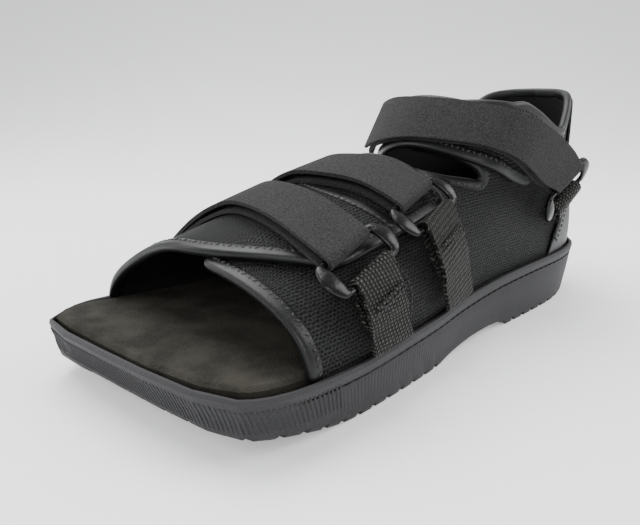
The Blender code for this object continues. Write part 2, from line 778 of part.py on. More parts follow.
def make_ring(name, axes, material):
    """Four-sided ring with straight bars for the strap and the webbing and broad, bowed ends."""
    middle, long_axis, short_axis, normal = axes
    u, v, corner = (RING_OPENING + RING_BAR) / 2, (RING_HEIGHT - RING_BAR) / 2, 2.4
    flat = v - corner
    path = []
    for su, sv in ((1, 1), (-1, 1), (-1, -1), (1, -1)):
        if su == sv:
            path += [(su * u, sv * flat * k, 1 - k * k) for k in (-0.6, 0.0, 0.6)]
        start = {(1, 1): 0, (-1, 1): 90, (-1, -1): 180, (1, -1): 270}[su, sv]
        for k in range(4):
            angle = math.radians(start + 30 * k)
            path.append((su * (u - corner) + corner * math.cos(angle),
                         sv * flat + corner * math.sin(angle), 0.0))
    count = len(path)
    loops = []
    for k, (pu, pv, broad) in enumerate(path):
        before, after = path[k - 1], path[(k + 1) % count]
        tangent = Vector((after[0] - before[0], after[1] - before[1])).normalized()
        out = Vector((tangent.y, -tangent.x))
        wide = RING_BAR + (RING_SIDE_BAR - RING_BAR) * broad
        pu += math.copysign((wide - RING_BAR) / 2, pu)
        centre = middle + long_axis * pu + short_axis * pv + normal * (2.0 * broad)
        radial = long_axis * out.x + short_axis * out.y
        loop = []
        for m in range(8):
            a = 2 * math.pi * (m + 0.5) / 8
            loop.append(centre + radial * wide * 0.53 * math.cos(a) + normal * RING_BAR * 0.53 * math.sin(a))
        loops.append(loop)
    bm = bmesh.new()
    loft(bm, loops, ring=True)
    return new_object(name, bm, material)


def turn_round(axes, side, thickness, half_width, steps=5):
    """Stations of a half turn round one bar of a ring; side -1 is the bar next to the strap."""
    middle, long_axis, short_axis, normal = axes
    bar = middle + short_axis * side * (RING_HEIGHT - RING_BAR) / 2
    reach = RING_BAR / 2 + SEAM_GAP + 0.1 + thickness / 2
    stations = []
    for k in range(steps + 1):
        angle = math.pi * (k / steps - 0.5)
        out = -short_axis * side * math.cos(angle) + normal * math.sin(angle)
        spot = bar + out * reach
        stations.append([(spot + long_axis * half_width * share, out) for share in ACROSS])
    return stations


# Forefoot and instep straps. Stations along the shoe in mm for the front edge at the inner rim, at
# the crest and at the ring; the ring's middle along the shoe, its turn and its tilt in degrees
STRAPS = {
    "forefoot": {"rim": 56.0, "crest": 70.0, "ring": 86.4, "turn": 0.784, "tilt": 9.3, "end": 0.22,
                 "puff": 2.4, "web": 92.0},
    "instep": {"rim": 92.0, "crest": 106.0, "ring": 132.0, "turn": 0.747, "tilt": 7.6, "end": 0.24,
               "puff": 2.6, "web": 140.0},
}


def strap_stations(name):
    row = STRAPS[name]
    axes = ring_axes(vamp_spot(row["ring"], row["turn"]), math.radians(row["tilt"]))
    middle, long_axis, short_axis, normal = axes
    bar = middle - short_axis * (RING_HEIGHT - RING_BAR) / 2
    half = STRAP_WIDTH / 2
    turn_at_bar = row["turn"] - 0.085

    def across(turn, offset):
        share = min(max((turn - 0.03) / (turn_at_bar - 0.03), 0.0), 1.0)
        middle_share = (0.5 - 0.03) / (turn_at_bar - 0.03)
        front_bar = (bar - long_axis * half).y
        rear_bar = (bar + long_axis * half).y
        front = smooth_value([(0, row["rim"]), (middle_share, row["crest"]), (1, front_bar)], share)
        rear = smooth_value([(0, row["rim"] + STRAP_WIDTH), (middle_share, row["crest"] + STRAP_WIDTH - 2),
                             (1, rear_bar)], share)
        lean = 0.022 * share**3
        middle_along, spread_along = (front + rear) / 2, (rear - front) / 2
        return [vamp_spot(middle_along + spread_along * k, turn - lean * k, offset)[:2] for k in ACROSS]

    near = SEAM_GAP + STRAP_THICKNESS / 2
    near += 0.45
    stations = [face_down(across(0.03 + (turn_at_bar - 0.055) * k / 12, near)) for k in range(13)]
    stations += turn_round(axes, -1, STRAP_THICKNESS, half)
    top = near + STRAP_THICKNESS + 0.5
    for k in range(12):
        turn = turn_at_bar - 0.035 - (turn_at_bar - 0.035 - row["end"]) * k / 11
        lift = row["puff"] * smooth_value([(0, 1.0), (0.35, 0.8), (0.8, 0.15), (1, 0.0)], k / 11)
        stations.append(across(turn, top + lift))
    return axes, stations


def webbing_stations(axes, name):
    row = STRAPS[name]
    middle, long_axis, short_axis, normal = axes
    half = WEBBING_WIDTH / 2
    bar = middle + short_axis * (RING_HEIGHT - RING_BAR) / 2
    turn_at_bar = row["turn"] + 0.07
    near = SEAM_GAP + WEBBING_THICKNESS / 2

    def across(share, offset):
        """share 0 at the ring's bar, 1 at the rim"""
        turn = turn_at_bar + (0.985 - turn_at_bar) * share
        front = (bar - long_axis * half).y * (1 - share) + (row["web"] - half) * share
        rear = (bar + long_axis * half).y * (1 - share) + (row["web"] + half) * share
        lean = 0.020 * (1 - share)
        middle_along, spread_along = (front + rear) / 2, (rear - front) / 2
        return [vamp_spot(middle_along + spread_along * k, min(turn - lean * k, 0.985), offset)[:2]
                for k in ACROSS]

    inner = [face_down(across(share, near + 0.2)) for share in (0.42, 0.30, 0.20)]
    turned = turn_round(axes, 1, WEBBING_THICKNESS, half)
    outer_lift = near + 0.2 + WEBBING_THICKNESS + 0.4
    outer = [across(0.22, outer_lift + 1.6), across(0.34, outer_lift + 0.4), across(0.46, outer_lift)]
    outer += [across(0.56, near + 0.9), across(0.66, near + 0.3)]
    outer += [across(share, near + 0.2) for share in (0.78, 0.89, 1.0)]
    return inner + turned + outer


# Edges of the ankle strap: degrees and mm up the tube for the lower and for the upper edge
ANKLE_STRAP = [
    # low degrees, low up, high degrees, high up
    (-84, 5.0, -84, 32.0), (-68, 5.0, -68, 32.0), (-52, 4.5, -52, 31.5), (-36, 4.0, -36, 31.0),
    (-20, 3.5, -20, 31.0), (-4, 3.5, -4, 31.0), (12, 4.5, 12, 31.0), (28, 5.5, 28, 31.5),
    (44, 7.0, 44, 32.0), (60, 9.0, 60, 33.5), (68, 10.0, 69, 34.6), (76, 11.0, 78, 36.0), (90, 12.5, 98, 39.0),
    (112, 13.0, 126, 41.0), (134, 12.6, 152, 42.5), (154, 12.0, 178, 43.0),
]


def ankle_stations():
    near = SEAM_GAP + STRAP_THICKNESS / 2 + 0.9
    low, high = ANKLE_STRAP[-1][:2], ANKLE_STRAP[-1][2:]
    a, b = ankle_spot(*low), ankle_spot(*high)
    middle = ankle_spot((low[0] + high[0]) / 2 + 14, (low[1] + high[1]) / 2)
    long_axis = (b[0] - a[0]).normalized()
    normal = middle[1]
    long_axis = (long_axis - normal * long_axis.dot(normal)).normalized()
    short_axis = normal.cross(long_axis)
    if short_axis.dot(middle[3]) < 0:
        short_axis = -short_axis
    dip = math.radians(ANKLE_RING_DIP)
    short_axis, normal = (short_axis * math.cos(dip) - normal * math.sin(dip),
                          normal * math.cos(dip) + short_axis * math.sin(dip))
    bar = middle[0] + normal * (RING_LIFT + 1.6)
    axes = (bar + short_axis * (RING_HEIGHT - RING_BAR) / 2, long_axis, short_axis, normal)
    half = STRAP_WIDTH / 2

    def across(row, offset):
        shares = [(k + 1) / 2 for k in ACROSS]
        return [ankle_spot(row[0] * (1 - k) + row[2] * k, row[1] * (1 - k) + row[3] * k, offset)[:2]
                for k in shares]

    stations = [face_down(across(row, near)) for row in ANKLE_STRAP]
    stations += turn_round(axes, -1, STRAP_THICKNESS, half)
    top = near + STRAP_THICKNESS + 0.5
    for k, row in enumerate(reversed(ANKLE_STRAP[1:])):
        puff = 2.6 * smooth_value([(0, 1.0), (0.5, 0.35), (1, 0.0)], k / 13)
        stations.append(across(row, top + puff))
    return axes, stations


def quarter_spot(side, p, level, offset):
    """Point and normal outside the quarter's wall at a column place and a row level."""
    def at(q, h):
        column = quarter_column(side, min(max(q, 0.0), 1.0))
        h = min(max(h, 0.0), len(column) - 1.001)
        j = int(h)
        return column[j].lerp(column[j + 1], h - j)
    here = at(p, level)
    if p > 0.985:
        across = Vector((side, 0, 0))
    else:
        across = (at(p - 0.012, level) - at(p + 0.012, level)).normalized()
    rise = (at(p, level + 0.3) - at(p, level - 0.3)).normalized()
    normal = across.cross(rise)
    normal.normalize()
    if normal.dot(here - Vector((0, 0.86 * SHOE_LENGTH, here.z))) < 0:
        normal = -normal
    return here + normal * (UPPER_WALL / 2 + offset), normal


# Front edge of the heel counter: row level of the quarter and place along the shoe in mm
COUNTER_EDGE = [(1.2, 232.0), (2.0, 237.0), (3.0, 245.0), (4.0, 254.0), (5.0, 261.0), (6.0, 265.0),
                (8.0, 267.0), (10.0, 267.0), (10.7, 267.0)]
COUNTER_LEVELS = [1.3, 2.0, 3.0, 4.0, 5.0, 6.0, 7.0, 8.0, 9.0, 10.0, 10.6]


def make_counter(material):
    """Shell round the back of the heel, over the quarter."""
    def column_place(side, level):
        wanted = smooth_value(COUNTER_EDGE, level)
        low, high = 0.2, 0.99
        for _ in range(24):
            middle = (low + high) / 2
            if quarter_spot(side, middle, level, 0)[0].y < wanted:
                low = middle
            else:
                high = middle
        return low
    columns = 8
    rows = []
    for level in COUNTER_LEVELS:
        starts = {side: column_place(side, level) for side in (1, -1)}
        row = []
        for k in range(-columns, columns + 1):
            side = 1 if k > 0 else -1
            p = 1 - (1 - starts[side]) * abs(k) / columns
            row.append((side, p, level))
        rows.append(row)
    bm = bmesh.new()
    shells = []
    for offset in (COUNTER_GAP, COUNTER_GAP + COUNTER_THICKNESS):
        shells.append([[bm.verts.new(place(quarter_spot(*spot, offset)[0])) for spot in row] for row in rows])
    last = 2 * columns
    top = len(rows) - 1
    for grid in shells:
        for i in range(top):
            for j in range(last):
                bm.faces.new((grid[i][j], grid[i][j + 1], grid[i + 1][j + 1], grid[i + 1][j]))
    a, b = shells
    for i in range(top):
        bm.faces.new((a[i][0], a[i + 1][0], b[i + 1][0], b[i][0]))
        bm.faces.new((a[i][last], a[i + 1][last], b[i + 1][last], b[i][last]))
    for j in range(last):
        bm.faces.new((a[0][j], a[0][j + 1], b[0][j + 1], b[0][j]))
        bm.faces.new((a[top][j], a[top][j + 1], b[top][j + 1], b[top][j]))
    return new_object("heel_counter", bm, material)


def quarter_under(point, offset):
    """Point and normal over the outer quarter at a point's place along the shoe and height."""
    p, level = 0.6, 4.0
    for _ in range(4):
        low, high = 0.02, 0.985
        for _ in range(16):
            p = (low + high) / 2
            if quarter_spot(1, p, level, offset)[0].y < point.y:
                low = p
            else:
                high = p
        low, high = 1.0, 10.9
        for _ in range(16):
            level = (low + high) / 2
            if quarter_spot(1, p, level, offset)[0].z < point.z:
                low = level
            else:
                high = level
    return quarter_spot(1, p, level, offset)


def ankle_webbing_stations(axes):
    middle, long_axis, short_axis, normal = axes
    half = WEBBING_WIDTH / 2
    bar = middle + short_axis * (RING_HEIGHT - RING_BAR) / 2
    near = SEAM_GAP + WEBBING_THICKNESS / 2 + 0.2

    def across(reach, lift):
        return [quarter_under(bar + short_axis * reach + long_axis * half * k, near + lift) for k in ACROSS]

    turned = turn_round(axes, 1, WEBBING_THICKNESS, half)

    def beside(station, reach):
        return [(point + short_axis * reach, out) for point, out in station]

    inner = [face_down(across(8.0, 0.0)), beside(turned[0], 2.5)]
    return inner + turned + [beside(turned[-1], 3.0), across(8.5, WEBBING_THICKNESS + 0.45)]


def clear_scene():
    for obj in list(bpy.data.objects):
        bpy.data.objects.remove(obj)


def make_material(name, color, roughness, metallic=0.0):
    material = bpy.data.materials.new(name)
    material.use_nodes = True
    shader = material.node_tree.nodes["Principled BSDF"]
    shader.inputs["Base Color"].default_value = (*color, 1.0)
    shader.inputs["Roughness"].default_value = roughness
    shader.inputs["Metallic"].default_value = metallic
    return material


def main():
    clear_scene()
    rubber = make_material("sole_rubber", (0.045, 0.044, 0.046), 0.7)
    foam = make_material("footbed_foam", (0.030, 0.028, 0.024), 0.9)
    mesh = make_material("upper_mesh", (0.014, 0.015, 0.015), 0.85)
    make_outsole(rubber)
    make_insole(foam)
    make_upper(mesh)
    strap = make_material("strap_fabric", (0.048, 0.046, 0.045), 0.9)
    webbing = make_material("webbing_nylon", (0.030, 0.029, 0.028), 0.75)
    plastic = make_material("ring_plastic", (0.010, 0.010, 0.011), 0.3)
    leather = make_material("counter_leatherette", (0.028, 0.030, 0.033), 0.55)
    for name in STRAPS:
        axes, stations = strap_stations(name)
        band(name + "_strap", stations, STRAP_THICKNESS, strap)
        make_ring(name + "_ring", axes, plastic)
        band(name + "_webbing", webbing_stations(axes, name), WEBBING_THICKNESS, webbing)
    axes, stations = ankle_stations()
    band("ankle_strap", stations, STRAP_THICKNESS, strap)
    make_ring("ankle_ring", axes, plastic)
    band("ankle_webbing", ankle_webbing_stations(axes), WEBBING_THICKNESS, webbing)
    make_counter(leather)


main()
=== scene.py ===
# %% [markdown]
# # A post-operative shoe
# A post-operative shoe is worn over a bandaged foot. It has a stiff, lugged sole with a raised rim, an open toe,
# and an upper of spacer mesh that opens flat and closes with hook-and-loop straps. This lesson dresses the plain
# solids of the shoe: mesh, bindings, straps, webbing, moulded rings and a rubber sole.
#
# The solids come first, because every piece below is fitted to them. The box round them is kept, to compare with
# the box of the finished model at the end.

# %% Load the solids
import math
import bmesh
import bpy
from mathutils import Matrix, Vector, noise
from mathutils.bvhtree import BVHTree


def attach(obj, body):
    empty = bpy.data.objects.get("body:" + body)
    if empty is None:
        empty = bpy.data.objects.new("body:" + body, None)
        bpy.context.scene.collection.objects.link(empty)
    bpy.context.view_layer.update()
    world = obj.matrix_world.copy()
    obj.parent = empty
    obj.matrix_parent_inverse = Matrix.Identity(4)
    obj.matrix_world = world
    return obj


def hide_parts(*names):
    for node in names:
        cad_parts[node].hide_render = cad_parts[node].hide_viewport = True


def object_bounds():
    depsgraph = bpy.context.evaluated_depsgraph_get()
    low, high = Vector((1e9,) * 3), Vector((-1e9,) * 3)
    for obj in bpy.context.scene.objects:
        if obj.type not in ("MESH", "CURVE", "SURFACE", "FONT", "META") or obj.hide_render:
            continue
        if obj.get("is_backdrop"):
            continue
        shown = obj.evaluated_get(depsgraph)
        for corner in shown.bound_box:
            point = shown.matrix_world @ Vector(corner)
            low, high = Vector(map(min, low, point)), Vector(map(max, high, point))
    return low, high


noise.seed_set(7)  # without a seed the noise follows the clock, and each run would shake the cloth differently
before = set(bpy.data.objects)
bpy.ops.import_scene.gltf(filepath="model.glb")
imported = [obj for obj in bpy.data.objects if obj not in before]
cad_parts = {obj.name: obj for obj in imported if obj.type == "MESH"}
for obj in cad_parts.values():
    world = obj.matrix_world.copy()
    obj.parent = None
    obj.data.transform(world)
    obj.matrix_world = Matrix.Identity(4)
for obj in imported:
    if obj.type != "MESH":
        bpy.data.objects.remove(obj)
solid_box = [list(corner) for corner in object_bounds()]
MM = 0.001
print("solids:", sorted(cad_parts))
print("box of the solids, mm:", [[round(v / MM, 1) for v in corner] for corner in solid_box])

# %% [markdown]
# The camera looks down at the outer side and the toe from about knee height and close by, which is why the toe
# looks so much larger than the heel. A camera can be aimed with a Track To constraint, but a matrix made from the
# three directions of the view is exact, and it keeps the horizon level.

# %% Camera
PITCH, TURN = math.radians(17.5), math.radians(50.3)
CAMERA_PLACE = Vector((184.7, -190.45, 116.0)) * MM
forward = Vector((-math.sin(TURN) * math.cos(PITCH), math.cos(TURN) * math.cos(PITCH), -math.sin(PITCH)))
right = Vector((math.cos(TURN), math.sin(TURN), 0))
camera_data = bpy.data.cameras.new("camera")
camera_data.lens = 30.94
camera_data.sensor_width = 36
camera_data.clip_start = 0.01
camera = bpy.data.objects.new("camera", camera_data)
camera.matrix_world = Matrix((right, right.cross(forward), -forward)).transposed().to_4x4()
camera.matrix_world.translation = CAMERA_PLACE
bpy.context.scene.collection.objects.link(camera)
bpy.context.scene.camera = camera
print("camera to the middle of the shoe, mm:", round(CAMERA_PLACE.length / MM))

# %% [markdown]
# Soft, even light suits a nearly black object: large lamps give the folds and the bindings long pale
# reflections. A wide key lamp hangs above the toe, a second one lights the outer side, and a third lights the
# heel from behind. The floor is one pale sheet that curves up into the background, so no line shows behind the
# shoe.

# %% Lamps and floor
def add_lamp(name, place, aim, size, power):
    lamp = bpy.data.lights.new(name, "AREA")
    lamp.shape = "RECTANGLE"
    lamp.size, lamp.size_y = size
    lamp.energy = power
    obj = bpy.data.objects.new(name, lamp)
    obj.matrix_world = (Vector(place) - Vector(aim)).to_track_quat("Z", "Y").to_matrix().to_4x4()
    obj.matrix_world.translation = Vector(place)
    bpy.context.scene.collection.objects.link(obj)


add_lamp("key_lamp", (-0.35, -0.05, 0.95), (0, 0, 0.05), (0.8, 0.8), 15)
add_lamp("side_lamp", (0.85, -0.75, 0.55), (0, 0, 0.05), (0.7, 0.4), 6)
add_lamp("toe_lamp", (-0.55, -0.85, 0.5), (0, -0.05, 0.04), (0.6, 0.5), 5)
add_lamp("heel_lamp", (0.55, 0.7, 0.7), (0, 0.05, 0.05), (0.6, 0.6), 7)

world = bpy.data.worlds.new("studio")
world.use_nodes = True
world.node_tree.nodes["Background"].inputs["Color"].default_value = (0.93, 0.94, 0.96, 1)
world.node_tree.nodes["Background"].inputs["Strength"].default_value = 0.85
bpy.context.scene.world = world

floor_bm = bmesh.new()
edge = floor_bm.verts.new((-3.0, -3.0, -0.0002)), floor_bm.verts.new((-3.0, 0.5, -0.0002))
floor_bm.edges.new(edge)
arc = bmesh.ops.spin(floor_bm, geom=[edge[1]], cent=(-3.0, 0.5, 1.8), axis=(1, 0, 0), angle=math.radians(90), steps=32)
top = max(floor_bm.verts, key=lambda v: v.co.z)
rise = bmesh.ops.extrude_vert_indiv(floor_bm, verts=[top])["verts"]
bmesh.ops.translate(floor_bm, verts=rise, vec=(0, 0, 2.5))
profile = list(floor_bm.edges)
wide = bmesh.ops.extrude_edge_only(floor_bm, edges=profile)["geom"]
bmesh.ops.translate(floor_bm, verts=[g for g in wide if isinstance(g, bmesh.types.BMVert)], vec=(6.0, 0, 0))
turn_sheet = Matrix.Rotation(math.radians(50.3), 4, "Z")
bmesh.ops.transform(floor_bm, matrix=turn_sheet, verts=floor_bm.verts)
bmesh.ops.recalc_face_normals(floor_bm, faces=floor_bm.faces)
floor_mesh = bpy.data.meshes.new("floor")
floor_bm.to_mesh(floor_mesh)
floor_bm.free()
floor_mesh.shade_smooth()
floor = bpy.data.objects.new("floor", floor_mesh)
bpy.context.scene.collection.objects.link(floor)
floor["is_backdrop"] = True
print("floor faces:", len(floor_mesh.polygons))

# %% [markdown]
# ## Building blocks for the finishes
# Every finish is a tree of shader nodes. The two helpers below add a node and join it, so that the recipes read
# as short lists. Effects that several finishes share are node groups with named sockets: a fine fuzz for the
# fabrics, a knit with holes, a woven pattern, and a dusty mottle.

# %% Node helpers
def node(tree, kind, **settings):
    made = tree.nodes.new(kind)
    for key, value in settings.items():
        if key in made.bl_rna.properties:
            setattr(made, key, value)
    return made


def join(tree, *pairs):
    for start, end in pairs:
        tree.links.new(start, end)


def calc(tree, operation, a, b=None, c=None, clamp=False):
    """A Math node; a, b and c are numbers or sockets."""
    made = tree.nodes.new("ShaderNodeMath")
    made.operation = operation
    made.use_clamp = clamp
    for k, value in enumerate((a, b, c)):
        if value is None:
            continue
        if isinstance(value, (int, float)):
            made.inputs[k].default_value = value
        else:
            tree.links.new(value, made.inputs[k])
    return made.outputs[0]


def blend_colors(tree, share, first, second):
    made = tree.nodes.new("ShaderNodeMix")
    made.data_type = "RGBA"
    ends = [s for s in made.inputs if s.type == "RGBA"]
    factor = [s for s in made.inputs if s.name == "Factor" and s.type == "VALUE"][0]
    tree.links.new(share, factor)
    for socket, value in zip(ends, (first, second)):
        if isinstance(value, tuple):
            socket.default_value = (*value, 1)
        else:
            tree.links.new(value, socket)
    return [s for s in made.outputs if s.type == "RGBA"][0]


def new_group(name, inputs, outputs):
    group = bpy.data.node_groups.new(name, "ShaderNodeTree")
    for label, kind, value in inputs:
        socket = group.interface.new_socket(name=label, in_out="INPUT", socket_type=kind)
        if value is not None:
            socket.default_value = value
    for label, kind in outputs:
        group.interface.new_socket(name=label, in_out="OUTPUT", socket_type=kind)
    return group, group.nodes.new("NodeGroupInput"), group.nodes.new("NodeGroupOutput")


def use_group(tree, group, **values):
    made = tree.nodes.new("ShaderNodeGroup")
    made.node_tree = group
    for label, value in values.items():
        socket = made.inputs[label.replace("_", " ")]
        if isinstance(value, (int, float)):
            socket.default_value = value
        else:
            tree.links.new(value, socket)
    return made


FLOAT, VECTOR = "NodeSocketFloat", "NodeSocketVector"

# %% [markdown]
# **Knit with holes.** Spacer mesh is a double knit with rows of small oval holes, each row set over by half a
# hole. A texture image would blur close up. A few Math nodes give the same rows at any distance: the position
# is cut into cells, and the distance from the cell's middle makes the oval.

# %% Group: knit holes
knit_holes, g_in, g_out = new_group(
    "knit holes",
    [("Position", VECTOR, None), ("Pitch across", FLOAT, 1.6), ("Pitch along", FLOAT, 1.3), ("Hole size", FLOAT, 0.90)],
    [("Hole", FLOAT), ("Height", FLOAT)],
)
split = node(knit_holes, "ShaderNodeSeparateXYZ")
join(knit_holes, (g_in.outputs["Position"], split.inputs[0]))
row = calc(knit_holes, "DIVIDE", split.outputs["Y"], g_in.outputs["Pitch along"])
row_number = calc(knit_holes, "FLOOR", row)
shift = calc(knit_holes, "MULTIPLY", calc(knit_holes, "MODULO", row_number, 2.0), 0.5)
column = calc(knit_holes, "ADD", calc(knit_holes, "DIVIDE", split.outputs["X"], g_in.outputs["Pitch across"]), shift)
off_x = calc(knit_holes, "SUBTRACT", calc(knit_holes, "FRACT", column), 0.5)
off_y = calc(knit_holes, "SUBTRACT", calc(knit_holes, "FRACT", row), 0.5)
reach = calc(
    knit_holes, "SQRT",
    calc(knit_holes, "ADD", calc(knit_holes, "POWER", calc(knit_holes, "ABSOLUTE", off_x), 2.0),
         calc(knit_holes, "MULTIPLY", calc(knit_holes, "POWER", calc(knit_holes, "ABSOLUTE", off_y), 2.0), 1.5)),
)
edge_of_hole = calc(knit_holes, "DIVIDE", g_in.outputs["Hole size"], 2.0)
depth = calc(knit_holes, "MULTIPLY", calc(knit_holes, "SUBTRACT", edge_of_hole, reach), 6.0, clamp=True)
join(knit_holes, (depth, g_out.inputs["Hole"]),
     (calc(knit_holes, "SUBTRACT", 1.0, depth), g_out.inputs["Height"]))
print("group:", knit_holes.name)

# %% [markdown]
# **Woven rows.** Webbing is woven from thick yarns that pass over and under in turn, so its face is rows of
# short bumps. The same cells as above work, with a dome in each cell in place of a hole.

# %% Group: woven rows
woven_rows, g_in, g_out = new_group(
    "woven rows",
    [("Position", VECTOR, None), ("Yarn width", FLOAT, 1.1), ("Yarn length", FLOAT, 1.9)],
    [("Dome", FLOAT)],
)
split = node(woven_rows, "ShaderNodeSeparateXYZ")
join(woven_rows, (g_in.outputs["Position"], split.inputs[0]))
row = calc(woven_rows, "DIVIDE", split.outputs["Y"], g_in.outputs["Yarn length"])
shift = calc(woven_rows, "MULTIPLY", calc(woven_rows, "MODULO", calc(woven_rows, "FLOOR", row), 2.0), 0.5)
column = calc(woven_rows, "ADD", calc(woven_rows, "DIVIDE", split.outputs["X"], g_in.outputs["Yarn width"]), shift)
across = calc(woven_rows, "SINE", calc(woven_rows, "MULTIPLY", calc(woven_rows, "FRACT", column), math.pi))
along = calc(woven_rows, "SINE", calc(woven_rows, "MULTIPLY", calc(woven_rows, "FRACT", row), math.pi))
dome = calc(woven_rows, "POWER", calc(woven_rows, "MULTIPLY", across, along), 0.6)
join(woven_rows, (dome, g_out.inputs["Dome"]))
print("group:", woven_rows.name)

# %% [markdown]
# **Fuzz** is fine noise for brushed loop fabric, suede and the pores of rubber. **Mottle** is slow noise, for
# the patches that handling and dust leave on any dark surface.

# %% Groups: fuzz and mottle
def noise_group(name, scale, detail, rough):
    group, g_in, g_out = new_group(
        name,
        [("Position", VECTOR, None), ("Scale", FLOAT, scale), ("Low", FLOAT, 0.35), ("High", FLOAT, 0.65)],
        [("Value", FLOAT)],
    )
    grain = node(group, "ShaderNodeTexNoise")
    grain.inputs["Detail"].default_value = detail
    grain.inputs["Roughness"].default_value = rough
    span = calc(group, "SUBTRACT", g_in.outputs["High"], g_in.outputs["Low"])
    join(group, (g_in.outputs["Position"], grain.inputs["Vector"]), (g_in.outputs["Scale"], grain.inputs["Scale"]))
    level = calc(group, "DIVIDE", calc(group, "SUBTRACT", grain.outputs[0], g_in.outputs["Low"]), span, clamp=True)
    join(group, (level, g_out.inputs["Value"]))
    return group


fuzz = noise_group("fuzz", 900.0, 3.0, 0.6)
mottle = noise_group("mottle", 28.0, 4.0, 0.55)
print("groups:", fuzz.name, mottle.name)

# %% [markdown]
# **Hand-laid cloth** is never perfectly even, so the map is shifted by a little slow noise before it is cut into
# cells. Both the knit and the webbing use it.

# %% Group: uneven cloth
uneven_cloth, g_in, g_out = new_group("uneven cloth", [("Map", VECTOR, None), ("Shift", FLOAT, 0.6)], [("Map", VECTOR)])
drift = node(uneven_cloth, "ShaderNodeTexNoise")
drift.inputs["Scale"].default_value = 0.55
centred = node(uneven_cloth, "ShaderNodeVectorMath", operation="SUBTRACT")
centred.inputs[1].default_value = (0.5, 0.5, 0.5)
scaled = node(uneven_cloth, "ShaderNodeVectorMath", operation="SCALE")
moved = node(uneven_cloth, "ShaderNodeVectorMath", operation="ADD")
join(uneven_cloth, (g_in.outputs["Map"], drift.inputs["Vector"]), (drift.outputs["Color"], centred.inputs[0]),
     (centred.outputs[0], scaled.inputs[0]), (g_in.outputs["Shift"], scaled.inputs["Scale"]),
     (g_in.outputs["Map"], moved.inputs[0]), (scaled.outputs[0], moved.inputs[1]), (moved.outputs[0], g_out.inputs["Map"]))
print("group:", uneven_cloth.name)

# %% [markdown]
# ## Finishes
# Each finish is one function for one real material of the shoe. Colours are linear, so a dark grey cloth is
# near 0.03, not 0.2.

# %% Start of a finish
def new_finish(name, color, roughness, specular=0.5):
    material = bpy.data.materials.new(name)
    material.use_nodes = True
    tree = material.node_tree
    shader = tree.nodes["Principled BSDF"]
    shader.inputs["Base Color"].default_value = (*color, 1)
    shader.inputs["Roughness"].default_value = roughness
    shader.inputs["Specular IOR Level"].default_value = specular
    place = node(tree, "ShaderNodeTexCoord")
    return material, tree, shader, place


def add_bump(tree, shader, height, distance, strength=1.0):
    bump = node(tree, "ShaderNodeBump")
    bump.inputs["Distance"].default_value = distance
    bump.inputs["Strength"].default_value = strength
    join(tree, (height, bump.inputs["Height"]), (bump.outputs["Normal"], shader.inputs["Normal"]))
    return bump


# %% [markdown]
# ** Spacer mesh**: the knit stands round each hole, and the holes are painted near black: partly the darker layer below, partly painted shade in the hollow of each hole. It follows the
# piece's own map, which is in millimetres along the shoe and up its side.

# %% Finish: spacer mesh
def mesh_finish():
    material, tree, shader, place = new_finish("spacer_mesh", (0.007, 0.0075, 0.007), 0.6, 0.16)
    laid = use_group(tree, uneven_cloth, Map=place.outputs["UV"], Shift=1.5)
    knit = use_group(tree, knit_holes, Position=laid.outputs["Map"], Pitch_across=1.9, Pitch_along=1.35)
    patches = use_group(tree, mottle, Position=place.outputs["Object"], Scale=35.0)
    yarn = use_group(tree, fuzz, Position=place.outputs["Object"], Scale=1500.0)
    cloth = blend_colors(tree, patches.outputs["Value"], (0.0062, 0.0070, 0.0063), (0.0100, 0.0110, 0.0100))
    cloth = blend_colors(tree, yarn.outputs["Value"], cloth, (0.026, 0.028, 0.026))
    # The holes are painted near black: the darker layer below, and painted shade that falls into each hole
    face = blend_colors(tree, knit.outputs["Hole"], cloth, (0.0003, 0.0003, 0.0003))
    height = calc(tree, "ADD", knit.outputs["Height"], calc(tree, "MULTIPLY", yarn.outputs["Value"], 0.2))
    join(tree, (face, shader.inputs["Base Color"]))
    add_bump(tree, shader, height, 0.0012, 1.0)
    return material


# %% [markdown]
# **Brushed loop fabric** of the straps: very fine, dense fuzz without a clear weave, a little paler where the
# pile catches the light.

# %% Finish: strap fabric
def strap_finish():
    material, tree, shader, place = new_finish("strap_loop_fabric", (0.014, 0.0135, 0.0137), 0.9, 0.14)
    pile = use_group(tree, fuzz, Position=place.outputs["Object"], Scale=1500.0, Low=0.34, High=0.68)
    patches = use_group(tree, mottle, Position=place.outputs["Object"], Scale=60.0)
    dark = blend_colors(tree, patches.outputs["Value"], (0.0085, 0.0082, 0.0084), (0.0125, 0.012, 0.0122))
    face = blend_colors(tree, pile.outputs["Value"], dark, (0.040, 0.0387, 0.0392))
    join(tree, (face, shader.inputs["Base Color"]))
    shader.inputs["Sheen Weight"].default_value = 0.03
    add_bump(tree, shader, pile.outputs["Value"], 0.0006, 0.7)
    return material


# %% [markdown]
# ** Webbing** is coarse nylon: glossy yarns in rows. Each bump carries a painted highlight, a small pale speck on its crown, and the gaps between the bumps are painted near black as shade.

# %% Finish: webbing
def webbing_finish():
    material, tree, shader, place = new_finish("webbing_yarn", (0.012, 0.012, 0.011), 0.5, 0.22)
    laid = use_group(tree, uneven_cloth, Map=place.outputs["UV"], Shift=0.9)
    weave = use_group(tree, woven_rows, Position=laid.outputs["Map"], Yarn_width=1.3, Yarn_length=1.7)
    yarn = use_group(tree, fuzz, Position=place.outputs["Object"], Scale=1400.0)
    painted_glint_share = calc(tree, "POWER", weave.outputs["Dome"], 5.0)
    # Painted highlight on the crown of each yarn, and painted shade in the gaps between the yarns
    face = blend_colors(tree, painted_glint_share, (0.0004, 0.0004, 0.0004), (0.085, 0.080, 0.066))
    face = blend_colors(tree, calc(tree, "MULTIPLY", yarn.outputs["Value"], 0.45), face, (0.0025, 0.0025, 0.0025))
    join(tree, (face, shader.inputs["Base Color"]))
    add_bump(tree, shader, weave.outputs["Dome"], 0.0016, 1.0)
    return material


# %% [markdown]
# **Leatherette** covers the edges and the heel: smooth plastic-coated cloth with a shallow pebble grain and a
# satin gloss.

